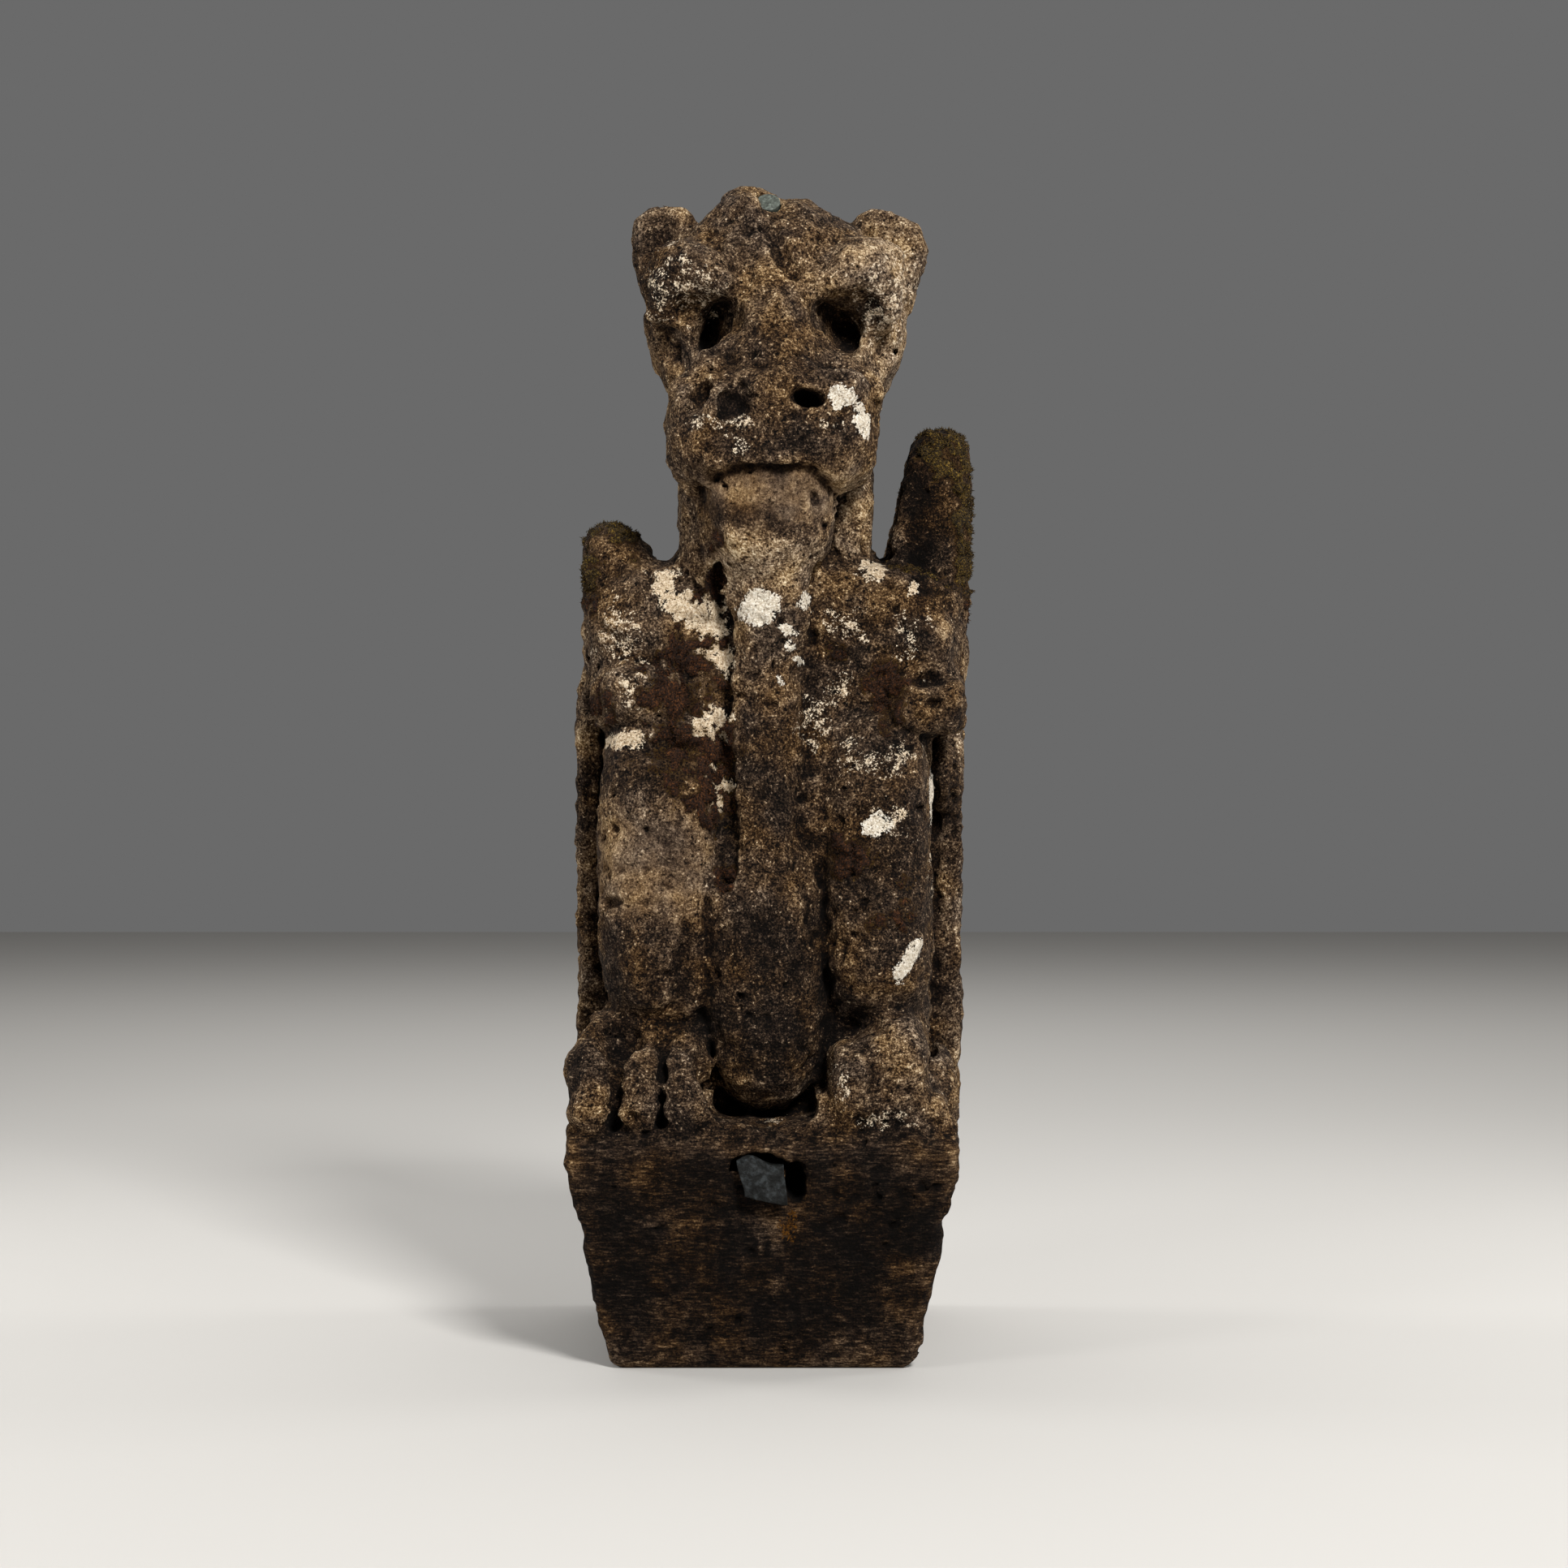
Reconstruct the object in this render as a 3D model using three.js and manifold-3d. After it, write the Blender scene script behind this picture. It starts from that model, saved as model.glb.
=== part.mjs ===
// A stone gargoyle: a winged beast that squats on the ledge of its own block, all carved from one
// prism of stone, with a flap of lead in the block's front and a metal dowel let into the crown.
//
// Millimetres, +Z up. The origin is the middle of the block's underside. The beast looks along -Y,
// and left and right are as seen from the front, so left is -X.
import * as THREE from 'three';
import { mergeVertices } from 'three/addons/utils/BufferGeometryUtils.js';
import { RoundedBoxGeometry } from 'three/addons/geometries/RoundedBoxGeometry.js';
import Module from 'manifold-3d';

const wasm = await Module();
wasm.setup();

// The prism of stone
const stoneWidth = 322;
const stoneDepth = 380;
const figureHeight = 780;

// The block under the figure
const blockHeight = 200;
const footWidth = 250;
const shoulderWidth = 292;
const shoulderHeight = 118;
const frontLean = 35;
const blockArris = 8;
const blockCorner = 12;

// The lead flap and the hole that it comes out of
const holeWidth = 50;
const holeHeight = 17;
const holeDepth = 70;
const holeCentre = -2;
const sillHeight = 165;
const pocketWidth = 15;
const pocketDrop = 20;
const leadWidth = 40;
const leadCentre = 0;
const leadThickness = 5.5;
const leadDrop = 27;
const leadTail = 58;
const leadStandOff = 9;

// The dowel in the crown
const dowelDiameter = 20;
const dowelLength = 34;
const dowelLean = 40;
const dowelSide = 5;

// Between pieces that touch
const clearance = 0.3;

// The figure is set out on a carver's grid of this many squares across, deep and high. Its places
// and radii are in squares, from the middle of the ledge, so it keeps its proportions in any stone.
const gridWidth = 322;
const gridDepth = 380;
const gridHeight = 780;

const toStone = new THREE.Matrix4()
  .makeTranslation(0, 0, blockHeight)
  .scale(new THREE.Vector3(stoneWidth / gridWidth, stoneDepth / gridDepth, figureHeight / gridHeight));

const left = -1;
const right = 1;
const halfTurn = Math.PI;
const degree = Math.PI / 180;

// Turns a closed geometry into a solid whose faces point out.
function solid(geometry) {
  geometry.deleteAttribute('normal');
  geometry.deleteAttribute('uv');
  const merged = mergeVertices(geometry, 1e-4);
  const position = merged.attributes.position;
  const index = Uint32Array.from(merged.index.array);
  const corner = [new THREE.Vector3(), new THREE.Vector3(), new THREE.Vector3()];
  let volume = 0;
  for (let i = 0; i < index.length; i += 3) {
    corner.forEach((c, k) => c.fromBufferAttribute(position, index[i + k]));
    volume += corner[0].dot(corner[1].clone().cross(corner[2]));
  }
  if (volume < 0) {
    index.reverse();
  }
  return new wasm.Manifold(new wasm.Mesh({
    numProp: 3,
    vertProperties: Float32Array.from(position.array),
    triVerts: index,
  }));
}

function turned([aboutX, aboutY, aboutZ]) {
  return new THREE.Euler(aboutX * degree, aboutY * degree, aboutZ * degree, 'ZYX');
}

function settled(geometry, centre, turn) {
  const turning = new THREE.Quaternion().setFromEuler(turned(turn));
  const place = new THREE.Matrix4().compose(
    new THREE.Vector3(...centre), turning, new THREE.Vector3(1, 1, 1));
  return geometry.applyMatrix4(place);
}

// A rounded lump of the figure, on the grid. turn is in degrees about X, Y and Z. With squareness 2
// it is an ellipsoid, and above that it fills out towards a box with soft corners.
function lump(centre, radii, { turn = [0, 0, 0], squareness = 2, around = 12 } = {}) {
  const ball = new THREE.SphereGeometry(1, around, Math.round(around * 0.64));
  ball.rotateX(halfTurn / 2);
  const position = ball.attributes.position;
  const point = new THREE.Vector3();
  for (let i = 0; i < position.count; i += 1) {
    point.fromBufferAttribute(position, i);
    const reach = point.toArray().reduce((sum, c) => sum + Math.abs(c) ** squareness, 0);
    point.multiplyScalar(reach ** (-1 / squareness));
    position.setXYZ(i, point.x, point.y, point.z);
  }
  ball.scale(...radii);
  return solid(settled(ball, centre, turn).applyMatrix4(toStone));
}

// A round-ended bar from one point of the grid to another. girth widens it along X, Y and Z.
function bar(from, to, startRadius, endRadius, girth = [1, 1, 1], around = 10) {
  const wide = new THREE.Vector3(...girth);
  const start = new THREE.Vector3(...from).divide(wide);
  const end = new THREE.Vector3(...to).divide(wide);
  const along = end.clone().sub(start);
  const length = along.length();
  const tilt = Math.asin((startRadius - endRadius) / length);
  const steps = 2;
  const profile = [];
  for (let i = 0; i <= steps; i += 1) {
    const a = -halfTurn / 2 + (halfTurn / 2 + tilt) * (i / steps);
    profile.push(new THREE.Vector2(startRadius * Math.cos(a), startRadius * Math.sin(a)));
  }
  for (let i = 0; i <= steps; i += 1) {
    const a = tilt + (halfTurn / 2 - tilt) * (i / steps);
    profile.push(new THREE.Vector2(endRadius * Math.cos(a), length + endRadius * Math.sin(a)));
  }
  profile[0].x = 0;
  profile[profile.length - 1].x = 0;
  const turning = new THREE.Quaternion().setFromUnitVectors(
    new THREE.Vector3(0, 1, 0), along.normalize());
  const lathe = new THREE.LatheGeometry(profile, around);
  lathe.applyQuaternion(turning).translate(start.x, start.y, start.z).scale(...girth);
  return solid(lathe.applyMatrix4(toStone));
}

// A run of bars through several points of the grid.
function ridge(points, radii, girth) {
  return points.slice(1).map((to, i) => bar(points[i], to, radii[i], radii[i + 1], girth));
}

// A block with rounded edges, on the grid, given by its half sizes.
function boulder(centre, halves, edge, rounds = 2) {
  const box = new RoundedBoxGeometry(...halves.map((half) => half * 2), rounds, edge);
  return solid(settled(box, centre, [0, 0, 0]).applyMatrix4(toStone));
}

// Puts a shape drawn in Y and Z across X, from its middle outwards, with worn edges.
function across(shape, middle, width, edge, segments = 5) {
  const geometry = new THREE.ExtrudeGeometry(shape, {
    depth: width - 2 * edge,
    bevelEnabled: edge > 0,
    bevelThickness: edge,
    bevelSize: edge,
    bevelOffset: -edge,
    bevelSegments: 1,
    curveSegments: segments,
  });
  geometry.translate(0, 0, -width / 2 + edge);
  geometry.applyMatrix4(new THREE.Matrix4().makeBasis(
    new THREE.Vector3(0, 1, 0), new THREE.Vector3(0, 0, 1), new THREE.Vector3(1, 0, 0)));
  return geometry.translate(middle, 0, 0);
}

function joined(solids) {
  return solids.reduce((whole, next) => whole.add(next));
}

function without(whole, cuts) {
  return cuts.reduce((rest, cut) => rest.subtract(cut), whole);
}

// The block: narrower towards its foot, its front leaning back, its back plain and upright.
function block() {
  const half = stoneWidth / 2;
  const outline = new THREE.Shape();
  const foot = footWidth / 2;
  const shoulder = shoulderWidth / 2;
  outline.moveTo(blockCorner - foot, 0);
  outline.lineTo(foot - blockCorner, 0);
  outline.quadraticCurveTo(foot, 0, foot + 2, blockCorner);
  outline.quadraticCurveTo(foot + blockCorner, blockHeight * 0.25, shoulder, shoulderHeight);
  outline.quadraticCurveTo(half - 2, blockHeight * 0.76, half, blockHeight - blockCorner);
  outline.quadraticCurveTo(half, blockHeight, half - blockCorner, blockHeight);
  outline.lineTo(blockCorner - half, blockHeight);
  outline.quadraticCurveTo(-half, blockHeight, -half, blockHeight - blockCorner);
  outline.quadraticCurveTo(2 - half, blockHeight * 0.76, -shoulder, shoulderHeight);
  outline.quadraticCurveTo(-foot - blockCorner, blockHeight * 0.25, -foot - 2, blockCorner);
  outline.quadraticCurveTo(-foot, 0, blockCorner - foot, 0);
  const geometry = new THREE.ExtrudeGeometry(outline, {
    depth: stoneDepth - 2 * blockArris,
    bevelThickness: blockArris,
    bevelSize: blockArris,
    bevelOffset: -blockArris,
    bevelSegments: 2,
    curveSegments: 4,
  });
  geometry.rotateX(halfTurn / 2).translate(0, stoneDepth / 2 - blockArris, 0);
  const position = geometry.attributes.position;
  for (let i = 0; i < position.count; i += 1) {
    const forward = 0.5 - position.getY(i) / stoneDepth;
    const below = 1 - position.getZ(i) / blockHeight;
    position.setY(i, position.getY(i) + frontLean * forward * below);
  }
  return solid(geometry);
}

// Where the leaning front of the block is at a height.
function frontAt(height) {
  return -stoneDepth / 2 + frontLean * (1 - height / blockHeight);
}

// The slab that was against the wall, and the chest and shoulders in front of it.
function trunk() {
  return [
    boulder([6, 72, 220], [158, 103, 240], 12, 1),
    lump([8, -30, 190], [132, 92, 240], { squareness: 6 }),
    lump([6, -62, 268], [130, 80, 84], { squareness: 4, around: 14 }),
    lump([12, -50, 391], [156, 78, 72], { squareness: 5, around: 16 }),
    lump([12, -34, 446], [100, 72, 36], { squareness: 3 }),
    boulder([0, -36, 5], [150, 136, 20], 12, 1),
  ];
}

// The long ridge down the middle of the chest, and the belly that it runs into.
function chest() {
  return [
    bar([3, -118, 462], [2, -128, 190], 31, 33),
    lump([-1, -88, 140], [58, 80, 116], { squareness: 3, around: 16 }),
    lump([-8, -108, 88], [47, 58, 66], { squareness: 2.2 }),
  ];
}

// A thigh, drawn up so that the knee points forward and down.
function haunch(middle, halfWidth, kneeHeight) {
  return [
    lump([middle, -72, 212], [halfWidth, 90, 138], { squareness: 3.4, around: 16 }),
    lump([middle, -92, kneeHeight + 72], [halfWidth * 0.9, 74, 76], { squareness: 2.4 }),
    bar([middle, -78, 110], [middle, -98, 24], halfWidth * 0.7, halfWidth * 0.76),
  ];
}

// The left foot keeps its three toes, each with a knuckle and a claw.
function toes() {
  const middles = [-138, -99, -64];
  return middles.flatMap((x, i) => [
    bar([x + 6 - i * 3, -110, 54], [x, -150, 46], 21, 20, [1, 1, 1.15]),
    bar([x, -150, 42], [x, -166, 18], 20, 18, [1, 1, 1.1]),
  ]);
}

// The right foot is worn to one lump, with a tail of stone running out to the corner.
function stump() {
  return [
    lump([94, -126, 38], [42, 62, 50], { squareness: 3.4 }),
    bar([112, -142, 12], [145, -158, -4], 24, 14),
    lump([148, -58, 22], [16, 60, 36]),
  ];
}

// The folded arms, which are the roots of the wings, with elbows that hang over the thighs.
function arms() {
  return [
    lump([-97, -108, 352], [36, 44, 30], { squareness: 3 }),
    lump([-130, -88, 350], [14, 40, 26], { around: 10 }),
    ...ridge([[-137, -70, 432], [-118, -110, 408], [-78, -116, 396]], [15, 14, 12]),
    lump([136, -102, 345], [32, 48, 25], { squareness: 4 }),
    lump([138, -92, 388], [23, 40, 38], { squareness: 3 }),
    ...ridge([[154, -90, 438], [120, -112, 402], [84, -118, 380]], [13, 15, 13]),
  ];
}

// A wing is a leaning blade with a thicker root behind it.
function wingOutline(top, back) {
  const outline = new THREE.Shape();
  outline.moveTo(-72, 360);
  outline.lineTo(-92, 430);
  outline.quadraticCurveTo(-112, top - 12, -66, top);
  outline.quadraticCurveTo(-16, top + 6, 34, back);
  outline.quadraticCurveTo(110, back - 24, 172, 452);
  outline.lineTo(172, 360);
  return outline;
}

// The wings stand beside the neck. The right one is whole, the left one is broken off low.
function wings() {
  return [
    across(wingOutline(577, 556), 148, 50, 8),
    across(wingOutline(520, 530), 130, 46, 8),
    across(wingOutline(498, 484), -129, 40, 8),
    across(wingOutline(476, 470), -116, 40, 8),
  ].map((blade) => solid(blade.applyMatrix4(toStone)));
}

// Long feathers folded down each side, one lapping over the next, with short ones over their roots.
function feathers(side) {
  const flank = side === right ? 160 : -148;
  const long = [0, 1, 2, 3].map((i) => lump(
    [flank, -8 + i * 44, 172 - i * 5], [10, 29, 190 - i * 4],
    { turn: [3, 0, 0], squareness: 4, around: 10 }));
  const short = [0, 1, 2].map((i) => lump(
    [flank - side * 2, 2 + i * 56, 318 - i * 14], [15, 38, 66], { turn: [6, 0, 0], around: 10 }));
  return [...long, ...short];
}

// A thick neck, and in front of it the dropped jaw with the smooth throat below.
function neck() {
  return [
    lump([12, -14, 520], [81, 62, 110], { squareness: 5, around: 14 }),
    bar([-44, -62, 560], [-48, -72, 440], 22, 26),
    bar([66, -58, 560], [68, -66, 440], 22, 26),
    lump([8, -114, 514], [48, 62, 58], { squareness: 3.4 }),
    bar([8, -128, 490], [4, -118, 430], 38, 30),
  ];
}

// Skull, cheeks and brows.
function skull() {
  return [
    lump([11, -60, 672], [112, 92, 88], { squareness: 2.6, around: 18 }),
    lump([12, -72, 622], [92, 76, 56], { squareness: 2.4, around: 14 }),
    lump([12, -14, 640], [88, 60, 100], { squareness: 4 }),
    lump([-10, -84, 738], [33, 45, 42]),
    lump([32, -84, 734], [31, 43, 37]),
    lump([-50, -104, 706], [44, 46, 28], { turn: [0, 12, 0] }),
    lump([72, -104, 706], [44, 46, 28], { turn: [0, -8, 0] }),
  ];
}

// The snout widens from between the eyes to the heavy lips.
function muzzle() {
  return [
    bar([12, -112, 712], [11, -146, 622], 36, 46),
    lump([10, -128, 602], [66, 66, 36], { turn: [12, 0, 0], squareness: 3 }),
    lump([8, -138, 567], [86, 72, 50], { squareness: 3.4, around: 16 }),
    lump([10, -172, 592], [42, 42, 33]),
  ];
}

function ears() {
  return [
    lump([-82, -58, 722], [30, 27, 47], { turn: [0, -6, 0], squareness: 2.8 }),
    lump([103, -58, 719], [36, 27, 44], { turn: [0, 16, 0], squareness: 3 }),
  ];
}

// Eye sockets, nostrils, the soft fronts of the ears, the arch of the lip, and the dark places
// between the legs and under the belly.
function hollows() {
  return [
    lump([-36, -150, 652], [15, 56, 26], { turn: [0, 8, 0], around: 10 }),
    lump([-56, -166, 654], [30, 34, 34], { around: 10 }),
    lump([62, -150, 654], [17, 56, 23], { turn: [0, -10, 0], around: 10 }),
    lump([80, -162, 650], [28, 30, 32], { around: 10 }),
    lump([37, -208, 589], [12, 18, 8], { turn: [0, 20, 0], around: 10 }),
    lump([-22, -218, 584], [14, 14, 14], { around: 10 }),
    lump([-80, -92, 734], [15, 22, 26], { turn: [0, -6, 0], around: 10 }),
    lump([98, -92, 732], [18, 22, 24], { turn: [0, 20, 0], around: 10 }),
    lump([8, -226, 514], [50, 56, 26]),
    bar([-45, -170, 62], [-32, -150, 18], 13, 16),
    lump([2, -150, 16], [46, 58, 20], { squareness: 3 }),
    bar([48, -160, 84], [40, -150, 18], 8, 14),
  ];
}

// The hole in the block's front: a slot over the sill, and a pocket that drops beside it.
function hole() {
  const front = -stoneDepth / 2;
  const slot = new THREE.Shape();
  const half = holeWidth / 2;
  const spring = leadThickness + 4 * clearance;
  slot.moveTo(-half, 0);
  slot.lineTo(half, 0);
  slot.lineTo(half, spring);
  slot.quadraticCurveTo(half * 0.7, holeHeight * 0.9, 0, holeHeight);
  slot.quadraticCurveTo(-half, holeHeight, -half, spring);
  const cut = new THREE.ExtrudeGeometry(slot, {
    depth: holeDepth * 2, bevelEnabled: false, curveSegments: 4,
  });
  cut.rotateX(halfTurn / 2).translate(holeCentre, front + holeDepth, sillHeight);
  const pocket = new THREE.BoxGeometry(pocketWidth, holeDepth * 2, pocketDrop + holeHeight / 2);
  pocket.translate(holeCentre + half + pocketWidth / 2 - 1, front,
    sillHeight - pocketDrop / 2 + holeHeight / 4);
  return [solid(cut), solid(pocket)];
}

// The flap: a strip of lead that lies on the sill and is dressed down over the block's front.
function leadFlap() {
  const rest = sillHeight + clearance;
  const lip = frontAt(rest) - clearance;
  const top = rest + leadThickness;
  const tip = lip - leadStandOff;
  const profile = new THREE.Shape();
  profile.moveTo(lip + leadTail, rest);
  profile.lineTo(lip + leadTail, top);
  profile.lineTo(lip, top);
  profile.quadraticCurveTo(lip - leadThickness, top - 1, lip - leadThickness - 1.5, top - 8);
  profile.lineTo(tip, top - leadDrop - 4);
  profile.lineTo(tip + leadThickness, top - leadDrop - 4);
  profile.lineTo(lip - 1.5, rest - 4);
  profile.lineTo(lip - 0.6, rest);
  return across(profile, leadCentre, leadWidth, 0);
}

// A round pin let into the crown, square to the slope there. proud is how far its face stands out.
function dowel(radius, length, proud) {
  const spot = new THREE.Vector3(dowelSide, -110, 763).applyMatrix4(toStone);
  const pin = new THREE.CylinderGeometry(radius, radius, length + proud, 24);
  pin.translate(0, (proud - length) / 2, 0);
  pin.rotateX(halfTurn - dowelLean * degree);
  return pin.translate(spot.x, spot.y, spot.z);
}

function dowelSeat() {
  return solid(dowel(dowelDiameter / 2 + clearance, dowelLength + clearance, dowelLength));
}

function stone() {
  const figure = joined([
    ...trunk(), ...chest(), ...haunch(-82, 54, 78), ...haunch(94, 47, 82), ...toes(), ...stump(),
    ...arms(), ...wings(), ...feathers(left), ...feathers(right), ...neck(), ...skull(),
    ...muzzle(), ...ears(),
  ]);
  return without(block().add(without(figure, hollows())), [...hole(), dowelSeat()]);
}

// The faces of a solid, as three.js draws them.
function surfaceOf(shape) {
  const { vertProperties, triVerts } = shape.getMesh();
  const geometry = new THREE.BufferGeometry();
  geometry.setAttribute('position', new THREE.BufferAttribute(Float32Array.from(vertProperties), 3));
  geometry.setIndex(new THREE.BufferAttribute(Uint32Array.from(triVerts), 1));
  return geometry;
}

function piece(name, shape, color, roughness, metalness) {
  const mesh = new THREE.Mesh(
    surfaceOf(shape), new THREE.MeshStandardMaterial({ color, roughness, metalness }));
  mesh.name = name;
  return mesh;
}

const gargoyle = new THREE.Group();
gargoyle.add(
  piece('stone_gargoyle', stone(), 0x6b5a48, 0.95, 0),
  piece('lead_spout_tongue', solid(leadFlap()), 0x59616a, 0.55, 0.8),
  piece('crown_dowel', solid(dowel(dowelDiameter / 2, dowelLength, 0)), 0x5e7a6c, 0.6, 0.7),
);

export default gargoyle;
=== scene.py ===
# %% [markdown]
# # A stone gargoyle
#
# The real object is a beast carved from one prism of stone, with a flap of lead in the front of its
# block and a metal dowel in its crown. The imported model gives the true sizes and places. Here it gets
# what the weather gave the real one: worn carving, pits, grain, crust, moss and lichen.

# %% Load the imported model
import itertools
import math

import bpy
import numpy as np
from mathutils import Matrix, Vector


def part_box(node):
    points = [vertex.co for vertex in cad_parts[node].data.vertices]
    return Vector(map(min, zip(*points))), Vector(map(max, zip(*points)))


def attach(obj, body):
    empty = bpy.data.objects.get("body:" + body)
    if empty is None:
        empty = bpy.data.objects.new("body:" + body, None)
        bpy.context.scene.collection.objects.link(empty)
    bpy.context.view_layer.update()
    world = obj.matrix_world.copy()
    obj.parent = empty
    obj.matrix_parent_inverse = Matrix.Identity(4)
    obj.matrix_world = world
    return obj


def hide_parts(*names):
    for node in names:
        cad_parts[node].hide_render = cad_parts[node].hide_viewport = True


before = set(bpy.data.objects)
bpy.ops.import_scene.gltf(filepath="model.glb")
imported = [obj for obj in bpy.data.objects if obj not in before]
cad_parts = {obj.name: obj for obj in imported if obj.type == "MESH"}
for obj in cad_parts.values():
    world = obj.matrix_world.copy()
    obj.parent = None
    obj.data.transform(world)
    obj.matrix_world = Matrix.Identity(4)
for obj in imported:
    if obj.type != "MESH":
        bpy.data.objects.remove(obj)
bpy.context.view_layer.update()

print("solids:", sorted(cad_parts))

# %% [markdown]
# ## Where the camera stands
#
# The photograph looks straight at the front, from the height of the chest. The vertical edges stay
# parallel, so the camera is level and far away, with a long lens.

# %% The camera
camera_place = (0.0182, -2.915, 0.479)
sensor_width = 36.0
picture_side = 1932
focal_pixels = 4154

camera = bpy.data.objects.new("camera", bpy.data.cameras.new("camera"))
camera.data.sensor_width = sensor_width
camera.data.lens = sensor_width * focal_pixels / picture_side
camera.location = camera_place
camera.rotation_euler = (math.radians(90), 0, 0)
bpy.context.collection.objects.link(camera)
bpy.context.scene.camera = camera
print("lens", round(camera.data.lens, 1), "mm")

# %% [markdown]
# ## Light and floor
#
# Light from high up shows carving best: brows and lips throw shadows. One soft lamp stands in front on
# the right and a weak one on the left, two graze the sides, and one lights the floor behind. The pale
# floor and surroundings are plain, and not part of the object.

# %% Lamps, surroundings and floor
def lamp(name, place, aim, side, watts):
    """A square lamp of the given side at a place, turned so that its face looks at the aim."""
    data = bpy.data.lights.new(name, "AREA")
    data.shape = "SQUARE"
    data.size = side
    data.energy = watts
    made = bpy.data.objects.new(name, data)
    made.location = place
    made.rotation_euler = (Vector(aim) - Vector(place)).to_track_quat("-Z", "Y").to_euler()
    bpy.context.collection.objects.link(made)


face_centre = (0.01, -0.15, 0.80)
lamp("key_lamp", (1.39, -3.65, 3.1), face_centre, 0.9, 330)
lamp("fill_lamp", (-1.7, -1.6, 1.35), face_centre, 0.6, 16)
lamp("ceiling_lamp", (0, 2.6, 3.2), (0, 2.6, 0), 4.0, 90)
lamp("left_edge_lamp", (-1.7, 0.5, 1.1), (0, 0, 0.5), 0.6, 14)
lamp("right_edge_lamp", (1.7, 0.5, 1.1), (0, 0, 0.5), 0.6, 14)

surroundings = bpy.data.worlds.new("surroundings")
surroundings.use_nodes = True
background = surroundings.node_tree.nodes["Background"].inputs
background["Color"].default_value = (0.8, 0.8, 0.8, 1)
background["Strength"].default_value = 0.18
bpy.context.scene.world = surroundings
bpy.context.scene.view_settings.view_transform = "Standard"

floor_reach = 8.0
floor_mesh = bpy.data.meshes.new("floor")
floor_mesh.from_pydata(
    [(x * floor_reach, y * floor_reach, 0) for x, y in ((-1, -1), (1, -1), (1, 1), (-1, 1))],
    [], [(0, 1, 2, 3)])
floor = bpy.data.objects.new("floor", floor_mesh)
bpy.context.collection.objects.link(floor)

# %% [markdown]
# ## Carving by distances
#
# A carver takes stone away until only the form is left, and weather rounds what meets. A surface of
# two parameters can't do that for legs, wings and ears at once, so the stone is a field. A grid of
# points fills its box, and each holds its distance to the surface, negative inside. Two forms join
# where the smaller distance is taken, softly, and a hollow is a form whose distance is turned round.

# %% The grid
stone_low, stone_high = (np.array(corner) * 1000 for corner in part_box("stone_gargoyle"))
ledge = 200.0
squares_high = 780
square = (stone_high[2] - ledge) / squares_high

grid_step = 2.5
grid_margin = 15.0
far_away = 60.0
grid_lines = [
    np.arange(stone_low[axis] - grid_margin, stone_high[axis] + grid_margin, grid_step, dtype=np.float32)
    for axis in range(3)]
stone = np.full([len(line) for line in grid_lines], far_away, np.float32)
print("grid", stone.shape, "one square of the figure is", round(float(square), 3), "mm")


# %% Joining and cutting
def soft_least(first, second, soft):
    """The smaller of two distances, less a quarter of soft where they are equal and nothing where
    they differ by more than soft, so that two forms flow into each other."""
    near = np.maximum(soft - np.abs(first - second), 0) / soft
    return np.minimum(first, second) - near * near * soft / 4


def carve(distance, low, high, soft, cut=False):
    """Joins a form to the stone, or cuts it out, in the part of the grid that it can reach."""
    reach = soft + 3 * grid_step
    spans = tuple(
        slice(*np.searchsorted(line, (a - reach, b + reach))) for line, a, b in zip(grid_lines, low, high))
    x, y, z = np.ix_(*[line[span] for line, span in zip(grid_lines, spans)])
    new = distance(x, y, z)
    if cut:
        stone[spans] = -soft_least(-stone[spans], new, soft)
    else:
        stone[spans] = soft_least(stone[spans], new, soft)


def step_up(value, low, high):
    """0 below low, 1 above high, and 3t^2 - 2t^3 between."""
    t = np.clip((value - low) / (high - low), 0, 1)
    return t * t * (3 - 2 * t)


def on_stone(point):
    """A place on the figure, in squares from the middle of the ledge, as millimetres."""
    return np.array(point, float) * square + (0, 0, ledge)


def turned(degrees):
    """The matrix that turns about X, then Y, then Z."""
    a, b, c = np.radians(degrees)
    about_x = np.array([[1, 0, 0], [0, np.cos(a), -np.sin(a)], [0, np.sin(a), np.cos(a)]])
    about_y = np.array([[np.cos(b), 0, np.sin(b)], [0, 1, 0], [-np.sin(b), 0, np.cos(b)]])
    about_z = np.array([[np.cos(c), -np.sin(c), 0], [np.sin(c), np.cos(c), 0], [0, 0, 1]])
    return about_z @ about_y @ about_x


# %% The carver's forms
def lump(middle, radii, turn=(0, 0, 0), boxy=2.0, soft=10.0, cut=False):
    """A rounded lump. With q the offset over the radius on each axis and n how boxy it is, s is the
    n-th root of the sum of q to the n, and the distance is (s - 1) over the slope of s."""
    middle = on_stone(middle)
    radii = np.array(radii, float) * square
    matrix = turned(turn)
    reach = np.abs(matrix) @ radii
    n = boxy

    def distance(x, y, z):
        offsets = [x - middle[0], y - middle[1], z - middle[2]]
        if any(turn):
            offsets = [sum(matrix[row, axis] * offsets[row] for row in range(3)) for axis in range(3)]
        shares = [np.maximum(np.abs(o) / r, 0.05).astype(np.float32) for o, r in zip(offsets, radii)]
        s = sum(q ** n for q in shares) ** (1 / n)
        slope = sum((q ** (n - 1) / r) ** 2 for q, r in zip(shares, radii))
        return (s - 1) * s ** (n - 1) / np.sqrt(slope)

    carve(distance, middle - reach, middle + reach, soft, cut)


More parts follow.
